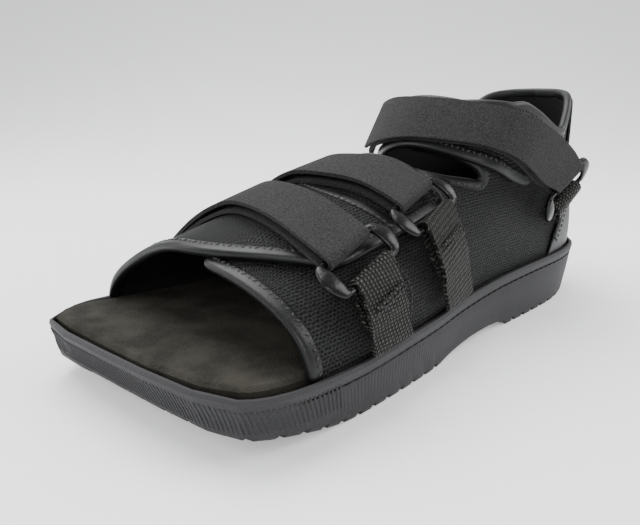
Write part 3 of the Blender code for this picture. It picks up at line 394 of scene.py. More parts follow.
# %% Finish: leatherette
def leatherette_finish(name, dark, pale, roughness):
    material, tree, shader, place = new_finish(name, dark, roughness, 0.28)
    cells = node(tree, "ShaderNodeTexVoronoi")
    cells.feature = "DISTANCE_TO_EDGE"
    cells.inputs["Scale"].default_value = 1300.0
    patches = use_group(tree, mottle, Position=place.outputs["Object"], Scale=45.0)
    face = blend_colors(tree, patches.outputs["Value"], dark, pale)
    join(tree, (place.outputs["Object"], cells.inputs["Vector"]), (face, shader.inputs["Base Color"]))
    worn = calc(tree, "MULTIPLY_ADD", patches.outputs["Value"], 0.12, roughness - 0.06)
    join(tree, (worn, shader.inputs["Roughness"]))
    add_bump(tree, shader, cells.outputs["Distance"], 0.0003, 0.35)
    return material


# %% [markdown]
# ** Rubber** of the sole: matt charcoal with fine pores. The lower wall has upright ribs, and the band above the
# stitches is smooth and painted paler, a painted highlight along the rim. A vertex attribute tells the finish how far
# below the rim it is, and along which way the ribs are counted.

# %% Finish: sole rubber
def rubber_finish():
    material, tree, shader, place = new_finish("sole_rubber_dressed", (0.02, 0.02, 0.021), 0.6, 0.3)
    drop = node(tree, "ShaderNodeAttribute", attribute_name="drop")
    count = node(tree, "ShaderNodeAttribute", attribute_name="rib_count")
    ribbed = node(tree, "ShaderNodeAttribute", attribute_name="ribbed")
    pores = use_group(tree, fuzz, Position=place.outputs["Object"], Scale=1000.0)
    patches = use_group(tree, mottle, Position=place.outputs["Object"], Scale=30.0)
    wave = calc(tree, "SINE", calc(tree, "MULTIPLY", count.outputs["Fac"], 2 * math.pi / 1.8))
    below = calc(tree, "MULTIPLY", calc(tree, "SUBTRACT", drop.outputs["Fac"], 6.0), 0.8, clamp=True)
    deep = calc(tree, "MULTIPLY", calc(tree, "SUBTRACT", 19.0, drop.outputs["Fac"]), 0.25, clamp=True)
    wave = calc(tree, "MULTIPLY", wave, deep)
    ribs = calc(tree, "MULTIPLY", calc(tree, "MULTIPLY", wave, below), ribbed.outputs["Fac"])
    height = calc(tree, "ADD", calc(tree, "MULTIPLY", ribs, 0.5), calc(tree, "MULTIPLY", pores.outputs["Value"], 0.35))
    wall = blend_colors(tree, patches.outputs["Value"], (0.0115, 0.0112, 0.0122), (0.0165, 0.0162, 0.0175))
    wall = blend_colors(tree, calc(tree, "MULTIPLY", pores.outputs["Value"], 0.4), wall, (0.028, 0.0275, 0.0295))
    # Painted highlight: the band just below the rim is painted paler, as the lit top of the rim
    rim = calc(tree, "MULTIPLY", calc(tree, "SUBTRACT", 4.2, drop.outputs["Fac"]), 1.0, clamp=True)
    face = blend_colors(tree, calc(tree, "MULTIPLY", rim, 0.5), wall, (0.030, 0.030, 0.0313))
    join(tree, (face, shader.inputs["Base Color"]))
    add_bump(tree, shader, height, 0.0005, 0.7)
    return material


# %% [markdown]
# **Footbed**: olive-black suede cloth with rubbed, cloudy patches.

# %% Finish: footbed
def footbed_finish():
    material, tree, shader, place = new_finish("footbed_suede", (0.015, 0.014, 0.0115), 0.9, 0.15)
    nap = use_group(tree, fuzz, Position=place.outputs["Object"], Scale=1300.0)
    cloud = use_group(tree, mottle, Position=place.outputs["Object"], Scale=70.0, Low=0.40, High=0.62)
    face = blend_colors(tree, cloud.outputs["Value"], (0.0130, 0.0120, 0.0096), (0.0330, 0.0310, 0.0252))
    face = blend_colors(tree, calc(tree, "MULTIPLY", nap.outputs["Value"], 0.4), face, (0.042, 0.039, 0.032))
    join(tree, (face, shader.inputs["Base Color"]))
    add_bump(tree, shader, nap.outputs["Value"], 0.0004, 0.5)
    return material


# %% [markdown]
# **Moulded plastic** of the rings is glossy black with faint moulding haze, and **thread** is matt grey
# polyester. **Lining** is smooth dark cloth.

# %% Finishes: plastic, thread and lining
def plastic_finish():
    material, tree, shader, place = new_finish("ring_plastic_dressed", (0.0024, 0.0024, 0.0026), 0.3, 0.25)
    haze = use_group(tree, fuzz, Position=place.outputs["Object"], Scale=600.0)
    join(tree, (calc(tree, "MULTIPLY_ADD", haze.outputs["Value"], 0.10, 0.20), shader.inputs["Roughness"]))
    add_bump(tree, shader, haze.outputs["Value"], 0.0001, 0.3)
    return material


def thread_finish():
    material, tree, shader, place = new_finish("sewing_thread", (0.04, 0.04, 0.04), 0.6, 0.3)
    ply = use_group(tree, fuzz, Position=place.outputs["Object"], Scale=2500.0)
    face = blend_colors(tree, ply.outputs["Value"], (0.018, 0.018, 0.018), (0.040, 0.040, 0.040))
    join(tree, (face, shader.inputs["Base Color"]))
    return material


def lining_finish():
    material, tree, shader, place = new_finish("lining_cloth", (0.004, 0.004, 0.004), 0.8, 0.15)
    cloth = use_group(tree, fuzz, Position=place.outputs["Object"], Scale=1200.0)
    face = blend_colors(tree, cloth.outputs["Value"], (0.0025, 0.0025, 0.0025), (0.007, 0.007, 0.007))
    join(tree, (face, shader.inputs["Base Color"]))
    add_bump(tree, shader, cloth.outputs["Value"], 0.0003, 0.5)
    return material


FINISH = {
    "mesh": mesh_finish(),
    "strap": strap_finish(),
    "webbing": webbing_finish(),
    "binding": leatherette_finish("binding_leatherette", (0.0035, 0.0036, 0.0038), (0.007, 0.0072, 0.0076), 0.38),
    "counter": leatherette_finish("counter_leatherette_dressed", (0.0045, 0.0050, 0.0057), (0.0075, 0.0083, 0.0095), 0.42),
    "rubber": rubber_finish(),
    "footbed": footbed_finish(),
    "plastic": plastic_finish(),
    "thread": thread_finish(),
    "lining": lining_finish(),
}

# The floor glows a little, as a lit paper roll does, so that it stays paler than the lamps alone would make it
floor_finish, tree, shader, place = new_finish("pale_floor", (0.80, 0.81, 0.82), 0.65, 0.2)
grain = use_group(tree, mottle, Position=place.outputs["Object"], Scale=3.0)
join(tree, (blend_colors(tree, grain.outputs["Value"], (0.86, 0.865, 0.87), (0.88, 0.885, 0.89)),
            shader.inputs["Base Color"]))
shader.inputs["Emission Color"].default_value = (1, 1, 1, 1)
shader.inputs["Emission Strength"].default_value = 0.25
floor_mesh.materials.append(floor_finish)
print("finishes:", len(FINISH))

# %% [markdown]
# ## Working from the solids
# A solid arrives as loose triangles. A merged copy, with its triangles joined back into four-sided faces,
# subdivides smoothly and can be bevelled. The same helper then turns the finished mesh into a piece that rides
# with the shoe.

# %% Copies and pieces
def copy_of(name):
    bm = bmesh.new()
    bm.from_mesh(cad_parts[name].data)
    bmesh.ops.remove_doubles(bm, verts=bm.verts, dist=2e-6)
    bmesh.ops.join_triangles(
        bm, faces=bm.faces, angle_face_threshold=math.radians(25), angle_shape_threshold=math.radians(40)
    )
    bm.normal_update()
    return bm


def add_piece(name, bm, finishes, replaced=None, smooth=2, sharp=None):
    mesh = bpy.data.meshes.new(name)
    bm.to_mesh(mesh)
    bm.free()
    mesh.shade_smooth()
    if sharp:
        mesh.set_sharp_from_angle(angle=math.radians(sharp))
    obj = bpy.data.objects.new(name, mesh)
    bpy.context.scene.collection.objects.link(obj)
    for finish in finishes:
        mesh.materials.append(FINISH[finish])
    if smooth:
        subdivide = obj.modifiers.new("smooth", "SUBSURF")
        subdivide.levels = subdivide.render_levels = smooth
    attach(obj, "root")
    if replaced:
        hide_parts(replaced)
    print(name, "faces before smoothing:", len(mesh.polygons))
    return obj


upper_solid = copy_of("upper")
upper_tree = BVHTree.FromBMesh(upper_solid)
print("upper faces:", len(upper_solid.faces))

# %% [markdown]
# Cloth patterns have to follow the cloth. The upper is an arch over the foot, so a place on it can be given by
# its station along the shoe and by its distance over the arch from the outer rim. Rays from inside the shoe
# measure that distance once, and every textile piece reads its map from the same table.

# %% Map that follows the arch
STATIONS = [-0.150 + 0.006 * k for k in range(51)]
ANGLES = [math.radians(100 - 4 * k) for k in range(51)]
HEARTH = 0.030


def arch_lengths(station):
    lengths, before, radius = [0.0], None, 0.05
    for angle in ANGLES:
        ray = Vector((math.sin(angle), 0, math.cos(angle)))
        hit = upper_tree.ray_cast(Vector((0, station, HEARTH)), ray, 0.13)
        radius = hit[3] if hit[0] else min(radius * 1.02, 0.10)
        here = Vector((0, 0, 0)) + ray * radius
        if before:
            lengths.append(lengths[-1] + (here - before).length)
        before = here
    return lengths


ARCHES = [arch_lengths(station) for station in STATIONS]


def cloth_map(point):
    """Millimetres along the shoe and over the arch, for a point near the upper."""
    s = min(max((point.y - STATIONS[0]) / 0.006, 0), len(STATIONS) - 1.001)
    angle = math.atan2(point.x, point.z - HEARTH)
    a = min(max((ANGLES[0] - angle) / math.radians(4), 0), len(ANGLES) - 1.001)
    i, j = int(s), int(a)
    low = ARCHES[i][j] * (1 - a + j) + ARCHES[i][j + 1] * (a - j)
    high = ARCHES[i + 1][j] * (1 - a + j) + ARCHES[i + 1][j + 1] * (a - j)
    return point.y / MM, (low * (1 - s + i) + high * (s - i)) / MM


def lay_map(bm, swap=False):
    layer = bm.loops.layers.uv.verify()
    for face in bm.faces:
        for loop in face.loops:
            u, v = cloth_map(loop.vert.co)
            loop[layer].uv = (v, u) if swap else (u, v)


print("arch at the instep, mm:", round(ARCHES[25][-1] / MM))

# %% [markdown]
# ## The upper
# The upper is one shell: outer face, lining and the narrow edge between them. The sharp edges divide the shell
# into those parts, which is also how the binding tape below finds its way. The shell is shaken a little by slow
# noise, because cloth over a bandage is never quite smooth.

# %% Parts of the shell
def parts_between_sharp_edges(bm, angle):
    """Lists of faces that hang together without crossing a sharp edge, largest first."""
    limit = math.radians(angle)
    seen, parts = set(), []
    for start in bm.faces:
        if start in seen:
            continue
        part, queue = [], [start]
        seen.add(start)
        while queue:
            face = queue.pop()
            part.append(face)
            for e in face.edges:
                if len(e.link_faces) == 2 and e.calc_face_angle() < limit:
                    other = e.link_faces[0] if e.link_faces[1] is face else e.link_faces[1]
                    if other not in seen:
                        seen.add(other)
                        queue.append(other)
        parts.append(part)
    return sorted(parts, key=lambda p: -sum(f.calc_area() for f in p))


shell_parts = parts_between_sharp_edges(upper_solid, 48)
print("parts of the upper:", [(len(p), round(sum(f.calc_area() for f in p) * 1e6)) for p in shell_parts[:12]])

# %% [markdown]
# The shell becomes a piece of its own. The faces get their cloth: knit outside,
# smooth lining inside. Subdivision rounds the rim and makes the arch flow.

# %% Upper
RIM_TABLE = [(-145, 26.0), (-104, 24.6), (-75, 23.6), (-43, 25.0), (-14, 26.0), (17, 27.3), (46, 28.8), (78, 30.0),
             (145, 30.5)]


def sole_rim(y):
    """Height of the sole's rim in mm at a station in mm."""
    for (y0, z0), (y1, z1) in zip(RIM_TABLE, RIM_TABLE[1:]):
        if y <= y1:
            return z0 + (z1 - z0) * max(0.0, (y - y0) / (y1 - y0))
    return RIM_TABLE[-1][1]


def smooth_step(low, high, value):
    share = min(1.0, max(0.0, (value - low) / (high - low)))
    return share * share * (3 - 2 * share)


def tree_of(part):
    """Nearest-point search on some faces."""
    index = {}
    for face in part:
        for v in face.verts:
            index.setdefault(v, len(index))
    spots = [v.co.copy() for v in index]
    return BVHTree.FromPolygons(spots, [[index[v] for v in face.verts] for face in part])


def free_edge(bm, part):
    """The edge loop of a part, walked with the part on its left."""
    inside, step = set(part), {}
    for face in part:
        for loop in face.loops:
            if any(f not in inside for f in loop.edge.link_faces):
                step[loop.vert] = loop.link_loop_next.vert
    start = next(iter(step))
    path, here = [start.co.copy()], step[start]
    while here is not start:
        path.append(here.co.copy())
        here = step[here]
    return path


outer_part, inner_part = shell_parts[0], shell_parts[1]
outer_face, inner_face = tree_of(outer_part), tree_of(inner_part)
upper_edge = free_edge(upper_solid, outer_part)

inner_numbers = {f.index for f in inner_part}
outer_numbers = {f.index for f in outer_part}
for face in upper_solid.faces:
    face.material_index = 1 if face.index in inner_numbers else 0 if face.index in outer_numbers else 2
lay_map(upper_solid)
for v in upper_solid.verts:
    v.co += noise.noise_vector(v.co * 22) * 0.25 * MM
add_piece("upper_cloth", upper_solid, ["mesh", "lining", "binding"], "upper", smooth=2)

# %% [markdown]
# ### Binding tape
# Raw mesh edges would fray, so a folded tape of leatherette is sewn over them. The tape is one closed outline
# carried along the edge: flat on the outer face, round over the rim, and flat on the lining. Extruding a ring of
# edges from station to station makes clean four-sided faces all the way.

# %% Paths and sweeping
def evenly(path, spacing, closed=False):
    """Points a fixed distance apart along a path."""
    if closed:
        path = path + [path[0]]
    total = sum((b - a).length for a, b in zip(path, path[1:]))
    count = max(2, round(total / spacing))
    wanted, made, walked, k = total / count, [path[0].copy()], 0.0, 0
    for n in range(1, count + 1):
        target = n * wanted
        while k < len(path) - 2 and walked + (path[k + 1] - path[k]).length < target:
            walked += (path[k + 1] - path[k]).length
            k += 1
        part = (path[k + 1] - path[k]).length
        made.append(path[k].lerp(path[k + 1], min(1.0, (target - walked) / part) if part else 0))
    return made


def soften(path, rounds):
    for _ in range(rounds):
        path = [path[0]] + [a * 0.25 + b * 0.5 + c * 0.25 for a, b, c in zip(path, path[1:], path[2:])] + [path[-1]]
    return path


def stations_on(path, tree):
    """Point, direction, face normal and the way into the cloth, at each point of a path."""
    made = []
    for k, point in enumerate(path):
        ahead = (path[min(k + 2, len(path) - 1)] - path[max(k - 2, 0)]).normalized()
        normal = tree.find_nearest(point)[1]
        inner_normal = tree.find_nearest(point + normal.cross(ahead) * 1.5 * MM)[1]
        normal = (normal + inner_normal).normalized()
        into = normal.cross(ahead).normalized()
        made.append((point, ahead, normal, into))
    return made


def sweep(bm, rings):
    """A closed skin through rings of points that all have the same count."""
    verts = bmesh.ops.create_circle(bm, cap_ends=False, segments=len(rings[0]), radius=MM)["verts"]
    for v, place in zip(verts, rings[0]):
        v.co = place
    own = set(verts)
    around = dict.fromkeys(e for v in verts for e in v.link_edges)  # keeps its order from run to run, as a set doesn't
    edges = [e for e in around if e.verts[0] in own and e.verts[1] in own]
    bmesh.ops.edgeloop_fill(bm, edges=edges)
    for ring in rings[1:]:
        made = bmesh.ops.extrude_edge_only(bm, edges=edges)["geom"]
        fresh = {g for g in made if isinstance(g, bmesh.types.BMVert)}
        edges = [g for g in made if isinstance(g, bmesh.types.BMEdge)
                 and g.verts[0] in fresh and g.verts[1] in fresh]
        follow = []
        for v in verts:
            follow.append(next(e.other_vert(v) for e in v.link_edges if e.other_vert(v) in fresh))
        for v, place in zip(follow, ring):
            v.co = place
        verts = follow
    bmesh.ops.edgeloop_fill(bm, edges=edges)


def edge_tape_rings(path, outer, inner, width, lining_width, wall, lift):
    rings = []
    for point, ahead, normal, into in stations_on(path, outer):
        ring = []
        for far, rise in ((width, -0.35), (width, 0.6), (width * 0.8, 1.0), (width * 0.45, 1.05), (0.35, 1.0)):
            spot, face_normal = outer.find_nearest(point + into * far * MM)[:2]
            ring.append(spot + face_normal * rise * lift * MM)
        ring.append(point - into * lift * MM - normal * wall * 0.2 * MM)
        ring.append(point - into * lift * MM - normal * wall * 0.8 * MM)
        for far, rise in ((0.35, 0.9), (lining_width * 0.6, 0.9), (lining_width, 0.5), (lining_width, -0.35)):
            spot, face_normal = inner.find_nearest(point - normal * wall * MM + into * far * MM)[:2]
            ring.append(spot + face_normal * rise * lift * MM)
        rings.append(ring)
    return rings


def surface_tape_rings(path, surface, width, lift):
    rings = []
    for point, ahead, normal, into in stations_on(path, surface):
        ring = []
        for far, rise in ((-0.5, -0.5), (-0.5, 0.5), (-0.42, 1.0), (0, 1.1), (0.42, 1.0), (0.5, 0.5), (0.5, -0.5)):
            spot, face_normal = surface.find_nearest(point + into * far * width * MM)[:2]
            ring.append(spot + face_normal * rise * lift * MM)
        rings.append(ring)
    return rings


def take_in(bm, batch):
    """Moves a small mesh into a larger one, which is quicker than building it there."""
    spare = bpy.data.meshes.new("batch")
    batch.to_mesh(spare)
    batch.free()
    bm.from_mesh(spare)
    bpy.data.meshes.remove(spare)


def add_bead(bm, spot, along, out, half_sizes):
    """A stretched ball, turned to lie along a direction."""
    turn = Matrix((along, out.cross(along), out)).transposed().to_4x4()
    turn.translation = spot
    size = Matrix.Diagonal((*(half * MM for half in half_sizes), 1))
    bmesh.ops.create_uvsphere(bm, u_segments=8, v_segments=5, radius=1, matrix=turn @ size)


def add_stitches(bm, path, surface, inset, length, gap, height, zigzag=0.0):
    """Short rounded threads on a surface, along a path or in a zigzag about it."""
    places = stations_on(evenly(path, (length + gap) * MM), surface)
    for first in range(0, len(places), 30):
        batch = bmesh.new()
        for k, (point, ahead, normal, into) in enumerate(places[first:first + 30]):
            lean = ahead * (0.6 if zigzag else 1) + into * (zigzag * (-1) ** k)
            spot, face_normal = surface.find_nearest(point + into * inset * MM)[:2]
            lean = (lean - face_normal * lean.dot(face_normal)).normalized()
            add_bead(batch, spot + face_normal * height * MM, lean, face_normal, (length / 2, 0.42, 0.3))
        take_in(bm, batch)
    return len(places)


def above_sole(path, margin):
    """The longest run of a closed path that lies above the sole's rim."""
    free = [p.z / MM > sole_rim(p.y / MM) + margin for p in path]
    start = next(k for k in range(len(path)) if free[k] and not free[k - 1])
    order = path[start:] + path[:start]
    states = free[start:] + free[:start]
    stop = next((k for k, state in enumerate(states) if not state), len(order))
    return order[:stop]


bound_edge = above_sole(evenly(upper_edge, 1.5 * MM, closed=True), -1.5)
bound_edge = soften(evenly(bound_edge, 2.6 * MM), 3)
print("bound edge, mm:", round(sum((b - a).length for a, b in zip(bound_edge, bound_edge[1:])) / MM))

# %% [markdown]
# The tape runs in one go from the inner toe corner, over the top flap, round the notch and the collar, and back
# along the under flap.

# %% Edge binding
TAPE_WIDTH, TAPE_LIFT, UPPER_WALL = 5.6, 0.5, 2.6
bm = bmesh.new()
sweep(bm, edge_tape_rings(bound_edge, outer_face, inner_face, TAPE_WIDTH, 4.5, UPPER_WALL, TAPE_LIFT))
bmesh.ops.recalc_face_normals(bm, faces=bm.faces)
add_piece("edge_binding", bm, ["binding"], smooth=1)

# %% [markdown]
# A second tape crosses the vamp between the two front straps, where two panels of mesh meet. The places below
# were read off the object along that seam.

# %% Cross tape
CROSS_TAPE = [(-25, -35, 72.5), (-16.1, -36.9, 75.2), (-0.7, -39.4, 75.2), (10.8, -37.8, 73.6), (19.2, -35.8, 71.6),
              (27.3, -33.2, 68.7), (34.2, -30.2, 65.3), (38.5, -29.0, 61.5)]
cross_path = soften(evenly([Vector(p) * MM for p in CROSS_TAPE], 2.6 * MM), 2)
bm = bmesh.new()
sweep(bm, surface_tape_rings(cross_path, outer_face, 5.2, TAPE_LIFT))
bmesh.ops.recalc_face_normals(bm, faces=bm.faces)
add_piece("cross_tape", bm, ["binding"], smooth=1)

# %% [markdown]
# Stitches hold the tape: a zigzag along the open front edges, a straight row elsewhere. Each stitch is a
# stretched ball sunk halfway into the tape, which is cheap and catches the light like thread.

# %% Stitches on the tapes
bm = bmesh.new()
thread_count = add_stitches(bm, bound_edge, outer_face, 3.9, 2.0, 0.7, 0.55, zigzag=0.8)
thread_count += add_stitches(bm, cross_path, outer_face, -1.8, 1.9, 0.9, 0.5)
PANEL_SEAM = [(45.7, -35.1, 49.5), (48.4, -33.2, 45.7), (50.5, -32.4, 41.5), (51.9, -33.1, 38.3), (53.7, -35.3, 32.6),
              (54.5, -37.0, 27.0)]
seam_path = soften(evenly([Vector(p) * MM for p in PANEL_SEAM], 1.5 * MM), 2)
thread_count += add_stitches(bm, seam_path, outer_face, 0.0, 1.8, 0.8, 0.1)
add_piece("upper_stitches", bm, ["thread"], smooth=0)
print("stitches:", thread_count)

# %% [markdown]
# ## The heel piece
# The heel is covered by a stiffer panel of leatherette with a folded edge of its own, sewn through to the
# upper. Its lower edge is tucked a few millimetres into the sole, as the shoe is glued up that way.

# %% Heel counter
counter_solid = copy_of("heel_counter")
counter_parts = parts_between_sharp_edges(counter_solid, 48)
counter_outer, counter_inner = tree_of(counter_parts[0]), tree_of(counter_parts[1])
counter_edge = above_sole(evenly(free_edge(counter_solid, counter_parts[0]), 1.5 * MM, closed=True), 9.0)
counter_edge = soften(evenly(counter_edge, 2.4 * MM), 2)
for v in counter_solid.verts:
    if v.co.z / MM < sole_rim(v.co.y / MM) + 5:
        v.co.z -= 4.5 * MM
        v.co -= Vector((v.co.x, v.co.y - 0.08, 0)).normalized() * 0.5 * MM
bmesh.ops.bevel(
    counter_solid, geom=[e for e in counter_solid.edges if len(e.link_faces) == 2 and e.calc_face_angle() > 0.8],
    offset=0.35 * MM, segments=1, profile=0.5, affect="EDGES", material=-1,
)
add_piece("heel_counter_panel", counter_solid, ["counter"], "heel_counter", smooth=2)
bm = bmesh.new()
sweep(bm, edge_tape_rings(counter_edge, counter_outer, counter_inner, 4.6, 1.0, 1.2, 0.4))
bmesh.ops.recalc_face_normals(bm, faces=bm.faces)
add_piece("heel_counter_edge", bm, ["binding"], smooth=1)
bm = bmesh.new()
add_stitches(bm, counter_edge, counter_outer, 3.4, 2.2, 1.0, 0.45)
add_piece("heel_counter_stitches", bm, ["thread"], smooth=0)

# %% [markdown]
# ## Straps
# Loop fabric is soft but held flat by its backing, so it keeps rounded edges and bends in smooth folds with
# slight waves. The long edges are bevelled, and slow noise shifts the surface by a fraction of a millimetre.

# %% Straps
def dress_band(name, rounding, wave):
    bm = copy_of(name)
    bmesh.ops.bevel(
        bm, geom=[e for e in bm.edges if len(e.link_faces) == 2 and e.calc_face_angle() > 0.9],
        offset=rounding * MM, segments=2, profile=0.5, affect="EDGES", material=-1, clamp_overlap=True,
    )
    for v in bm.verts:
        v.co += noise.noise_vector(v.co * 45) * wave * MM
    return bm


def own_axes(bm):
    """Middle of a flat ring, its long way, its short way and its normal."""
    middle = sum((v.co for v in bm.verts), Vector()) / len(bm.verts)
    spread = [[sum((v.co - middle)[i] * (v.co - middle)[j] for v in bm.verts) for j in range(3)] for i in range(3)]
    spread = Matrix(spread)
    long_way = Vector((0.3, 0.8, 0.5))
    for _ in range(60):
        long_way = (spread @ long_way).normalized()
    rest = Vector((0.7, -0.2, 0.4))
    for _ in range(60):
        rest = spread @ rest
        rest = (rest - long_way * rest.dot(long_way)).normalized()
    return middle, long_way, rest, long_way.cross(rest)


def draw_in(bm, share):
    """Pulls a looped band's edges towards its middle line on the outer side of the shoe."""
    middle, _, _, axis = own_axes(bm)
    heights = {}
    for v in bm.verts:
        heights.setdefault(round(v.co.x / (8 * MM)), []).append((v.co - middle).dot(axis))
    level = {key: (max(row) + min(row)) / 2 for key, row in heights.items()}
    for v in bm.verts:
        place = v.co.x / (8 * MM)
        low = level.get(math.floor(place), level[round(place)])
        high = level.get(math.floor(place) + 1, level[round(place)])
        centre = low + (high - low) * (place - math.floor(place))
        off = (v.co - middle).dot(axis) - centre
        v.co -= axis * off * share * smooth_step(-0.03, 0.005, v.co.x)


for name in ("forefoot", "instep", "ankle"):
    bm = dress_band(name + "_strap", 0.5, 0.35)
    if name == "ankle":
        draw_in(bm, 0.2)
    add_piece(name + "_strap_fabric", bm, ["strap"], name + "_strap", smooth=2)

# %% [markdown]
# ## Webbing loops
# The map of each loop is turned so that the rows of yarn cross the band. The long way of the band is found from
# the spread of its points on the cloth map.

# %% Webbing
def lay_band_map(bm):
    spots = [Vector(cloth_map(v.co)) for v in bm.verts]
    middle = sum(spots, Vector((0, 0))) / len(spots)
    uu = sum((p.x - middle.x) ** 2 for p in spots)
    vv = sum((p.y - middle.y) ** 2 for p in spots)
    uv = sum((p.x - middle.x) * (p.y - middle.y) for p in spots)
    turn = 0.5 * math.atan2(2 * uv, uu - vv)
    layer = bm.loops.layers.uv.verify()
    for face in bm.faces:
        for loop in face.loops:
            p = Vector(cloth_map(loop.vert.co)) - middle
            along = p.x * math.cos(turn) + p.y * math.sin(turn)
            across = p.y * math.cos(turn) - p.x * math.sin(turn)
            loop[layer].uv = (across, along)


for name in ("forefoot", "instep", "ankle"):
    bm = dress_band(name + "_webbing", 0.4, 0.2)
    lay_band_map(bm)
    add_piece(name + "_webbing_band", bm, ["webbing"], name + "_webbing", smooth=2)

# %% [markdown]
# ## Rings
# The rings are injection moulded, with slim round bars for the strap and the webbing and wide side tabs that
# swell like a lens. The spread of the solid's points gives its long way, short way and normal. One flat oval is
# then carried round the outline and made wider along the tabs.

# %% Rings
RING_HALF, RING_BAR, TAB_SWELL = (15.5, 7.0), 2.8, 4.8


def ring_rings(middle, long_way, short_way, out):
    """Sections round the ring: round bars, and flat lens-shaped tabs at both ends."""
    half_u, half_v = RING_HALF
    corner, sections = 2.4, []
    path = []
    for quarter, (su, sv) in enumerate(((1, 1), (-1, 1), (-1, -1), (1, -1))):
        for step in range(5):
            angle = math.radians(90 * quarter + 22.5 * step)
            path.append((su * (half_u - corner) + corner * math.cos(angle),
                         sv * (half_v - corner) + corner * math.sin(angle)))
        if quarter in (1, 3):
            path += [(su * half_u, sv * (half_v - corner) * share) for share in (0.67, 0.33, 0.0, -0.33, -0.67)]
    for k, (u, v) in enumerate(path):
        after, before = path[(k + 1) % len(path)], path[k - 1]
        ahead = Vector((after[0] - before[0], after[1] - before[1])).normalized()
        swell = max(0.0, 1 - (v / (half_v + 0.8)) ** 2) * (abs(u) > half_u - 1.2)
        width = RING_BAR + TAB_SWELL * swell
        centre = middle + (long_way * (u + math.copysign(width - RING_BAR, u) / 2) + short_way * v) * MM
        centre += out * swell * 1.6 * MM
        side = (long_way * ahead.y - short_way * ahead.x) * width / 2 * MM
        oval = [(math.cos(math.tau * m / 12), math.sin(math.tau * m / 12)) for m in range(12)]
        flat = 0.75 if swell else 1.0
        sections.append([
            centre + side * math.copysign(abs(c) ** flat, c) + out * math.copysign(abs(s) ** flat, s) * 1.35 * MM
            for c, s in oval
        ])
    return sections


for name in ("forefoot", "instep", "ankle"):
    solid = copy_of(name + "_ring")
    middle, long_way, short_way, out = own_axes(solid)
    tabs = [v.co for v in solid.verts if abs((v.co - middle).dot(long_way)) > 16 * MM]
    if sum((spot - middle).dot(out) for spot in tabs) < 0:
        out = -out
    middle -= out * 0.4 * MM
    bm = bmesh.new()
    sections = ring_rings(middle, long_way, short_way, out)
    sweep(bm, sections + [sections[0]])
    caps = [f for f in bm.faces if len(f.verts) > 4]
    bmesh.ops.delete(bm, geom=caps, context="FACES_ONLY")
    bmesh.ops.remove_doubles(bm, verts=bm.verts, dist=0.01 * MM)
    bmesh.ops.recalc_face_normals(bm, faces=bm.faces)
    solid.free()
    add_piece(name + "_ring_moulding", bm, ["plastic"], name + "_ring", smooth=2)

# %% [markdown]
# The webbing is folded round the bar of its ring and sewn to itself about ten millimetres below. The fold ends in
# a low ridge across the band with a row of stitches beside it, both laid on the face of the webbing.

# %% Sewn fold of the webbing
ridge, threads = bmesh.new(), bmesh.new()
for name in ("forefoot", "instep"):
    solid = copy_of(name + "_ring")
    middle, long_way, short_way, out = own_axes(solid)
    solid.free()
    band = copy_of(name + "_webbing")
    band_face = BVHTree.FromBMesh(band)
    if (band_face.find_nearest(middle + short_way * 0.02)[0] - middle).dot(short_way) < 0.012:
        short_way = -short_way
    if out.x < 0:
        out = -out
    places = []
    for step in range(-5, 6):
        start = middle + short_way * 17 * MM + long_way * step * 2.1 * MM + out * 12 * MM
        hit = band_face.ray_cast(start, -out, 0.03)[0]
        if hit:
            places.append(hit)
    if len(places) > 4:
        path = soften(evenly(places, 1.6 * MM), 1)
        sweep(ridge, surface_tape_rings(path, band_face, 1.7, 0.55))
        add_stitches(threads, path, band_face, -2.0, 1.6, 0.8, 0.25)
    band.free()
    print(name, "places on the fold:", len(places))
bmesh.ops.recalc_face_normals(ridge, faces=ridge.faces)
lay_band_map(ridge)
add_piece("webbing_folds", ridge, ["webbing"], smooth=1)
add_piece("webbing_stitches", threads, ["thread"], smooth=0)

# %% [markdown]
# ## Sole
# The sole keeps its crisp moulded edges with a small bevel. Three vertex attributes feed the rubber finish: the
# drop below the rim, the way round the outline for counting ribs, and how strongly the ribs stand out.

# %% Sole
sole_solid = copy_of("outsole")
sole_tree = BVHTree.FromBMesh(sole_solid)
wall_hits, girth = [], [0.0]
for k in range(721):
    angle = math.radians(90 + k * 0.5)
    ray = Vector((math.cos(angle), math.sin(angle), 0))
    hit = sole_tree.ray_cast(Vector((0, 0, 0.0125)), ray, 0.3)[0]
    wall_hits.append(hit if hit else wall_hits[-1])
    if k:
        girth.append(girth[-1] + (wall_hits[k] - wall_hits[k - 1]).length / MM)


def way_round(point):
    turn = (math.degrees(math.atan2(point.y, point.x)) - 90) % 360
    k = min(719, int(turn * 2))
    return girth[k] + (girth[k + 1] - girth[k]) * (turn * 2 - k)


# The inner toe corner stands upright and is rounded by a press of the mould, so its tip is drawn in and its foot out
CORNER_WAY = Vector((-0.76, -0.65, 0))
corner_reach = max(v.co.dot(CORNER_WAY) for v in sole_solid.verts) - 6 * MM
for v in sole_solid.verts:
    at_corner = smooth_step(-0.015, -0.05, v.co.x) * smooth_step(-0.085, -0.115, v.co.y)
    fall = max(0.0, (sole_rim(v.co.y / MM) - 5) * MM - v.co.z)
    v.co += CORNER_WAY * fall * 0.30 * at_corner
    past = v.co.dot(CORNER_WAY) - corner_reach
    if past > 0:
        v.co -= CORNER_WAY * past * past / (past + 5 * MM)

# The stitch groove starts behind the outer toe corner, so the wall in front of it is smoothed over
for v in sole_solid.verts:
    drop = sole_rim(v.co.y / MM) - v.co.z / MM
    if v.co.y > -0.094 or not 3 < drop < 7:
        continue
    near = [e.other_vert(v).co for e in v.link_edges]
    near = [co for co in near if abs(co.z - v.co.z) > 0.25 * MM and (co - v.co).length < 4 * MM]
    if len(near) < 2:
        continue
    level_wall = sum(near, Vector()) / len(near)
    if (level_wall - v.co).dot(Vector((v.co.x, v.co.y, 0)).normalized()) > 0.15 * MM:
        v.co = level_wall

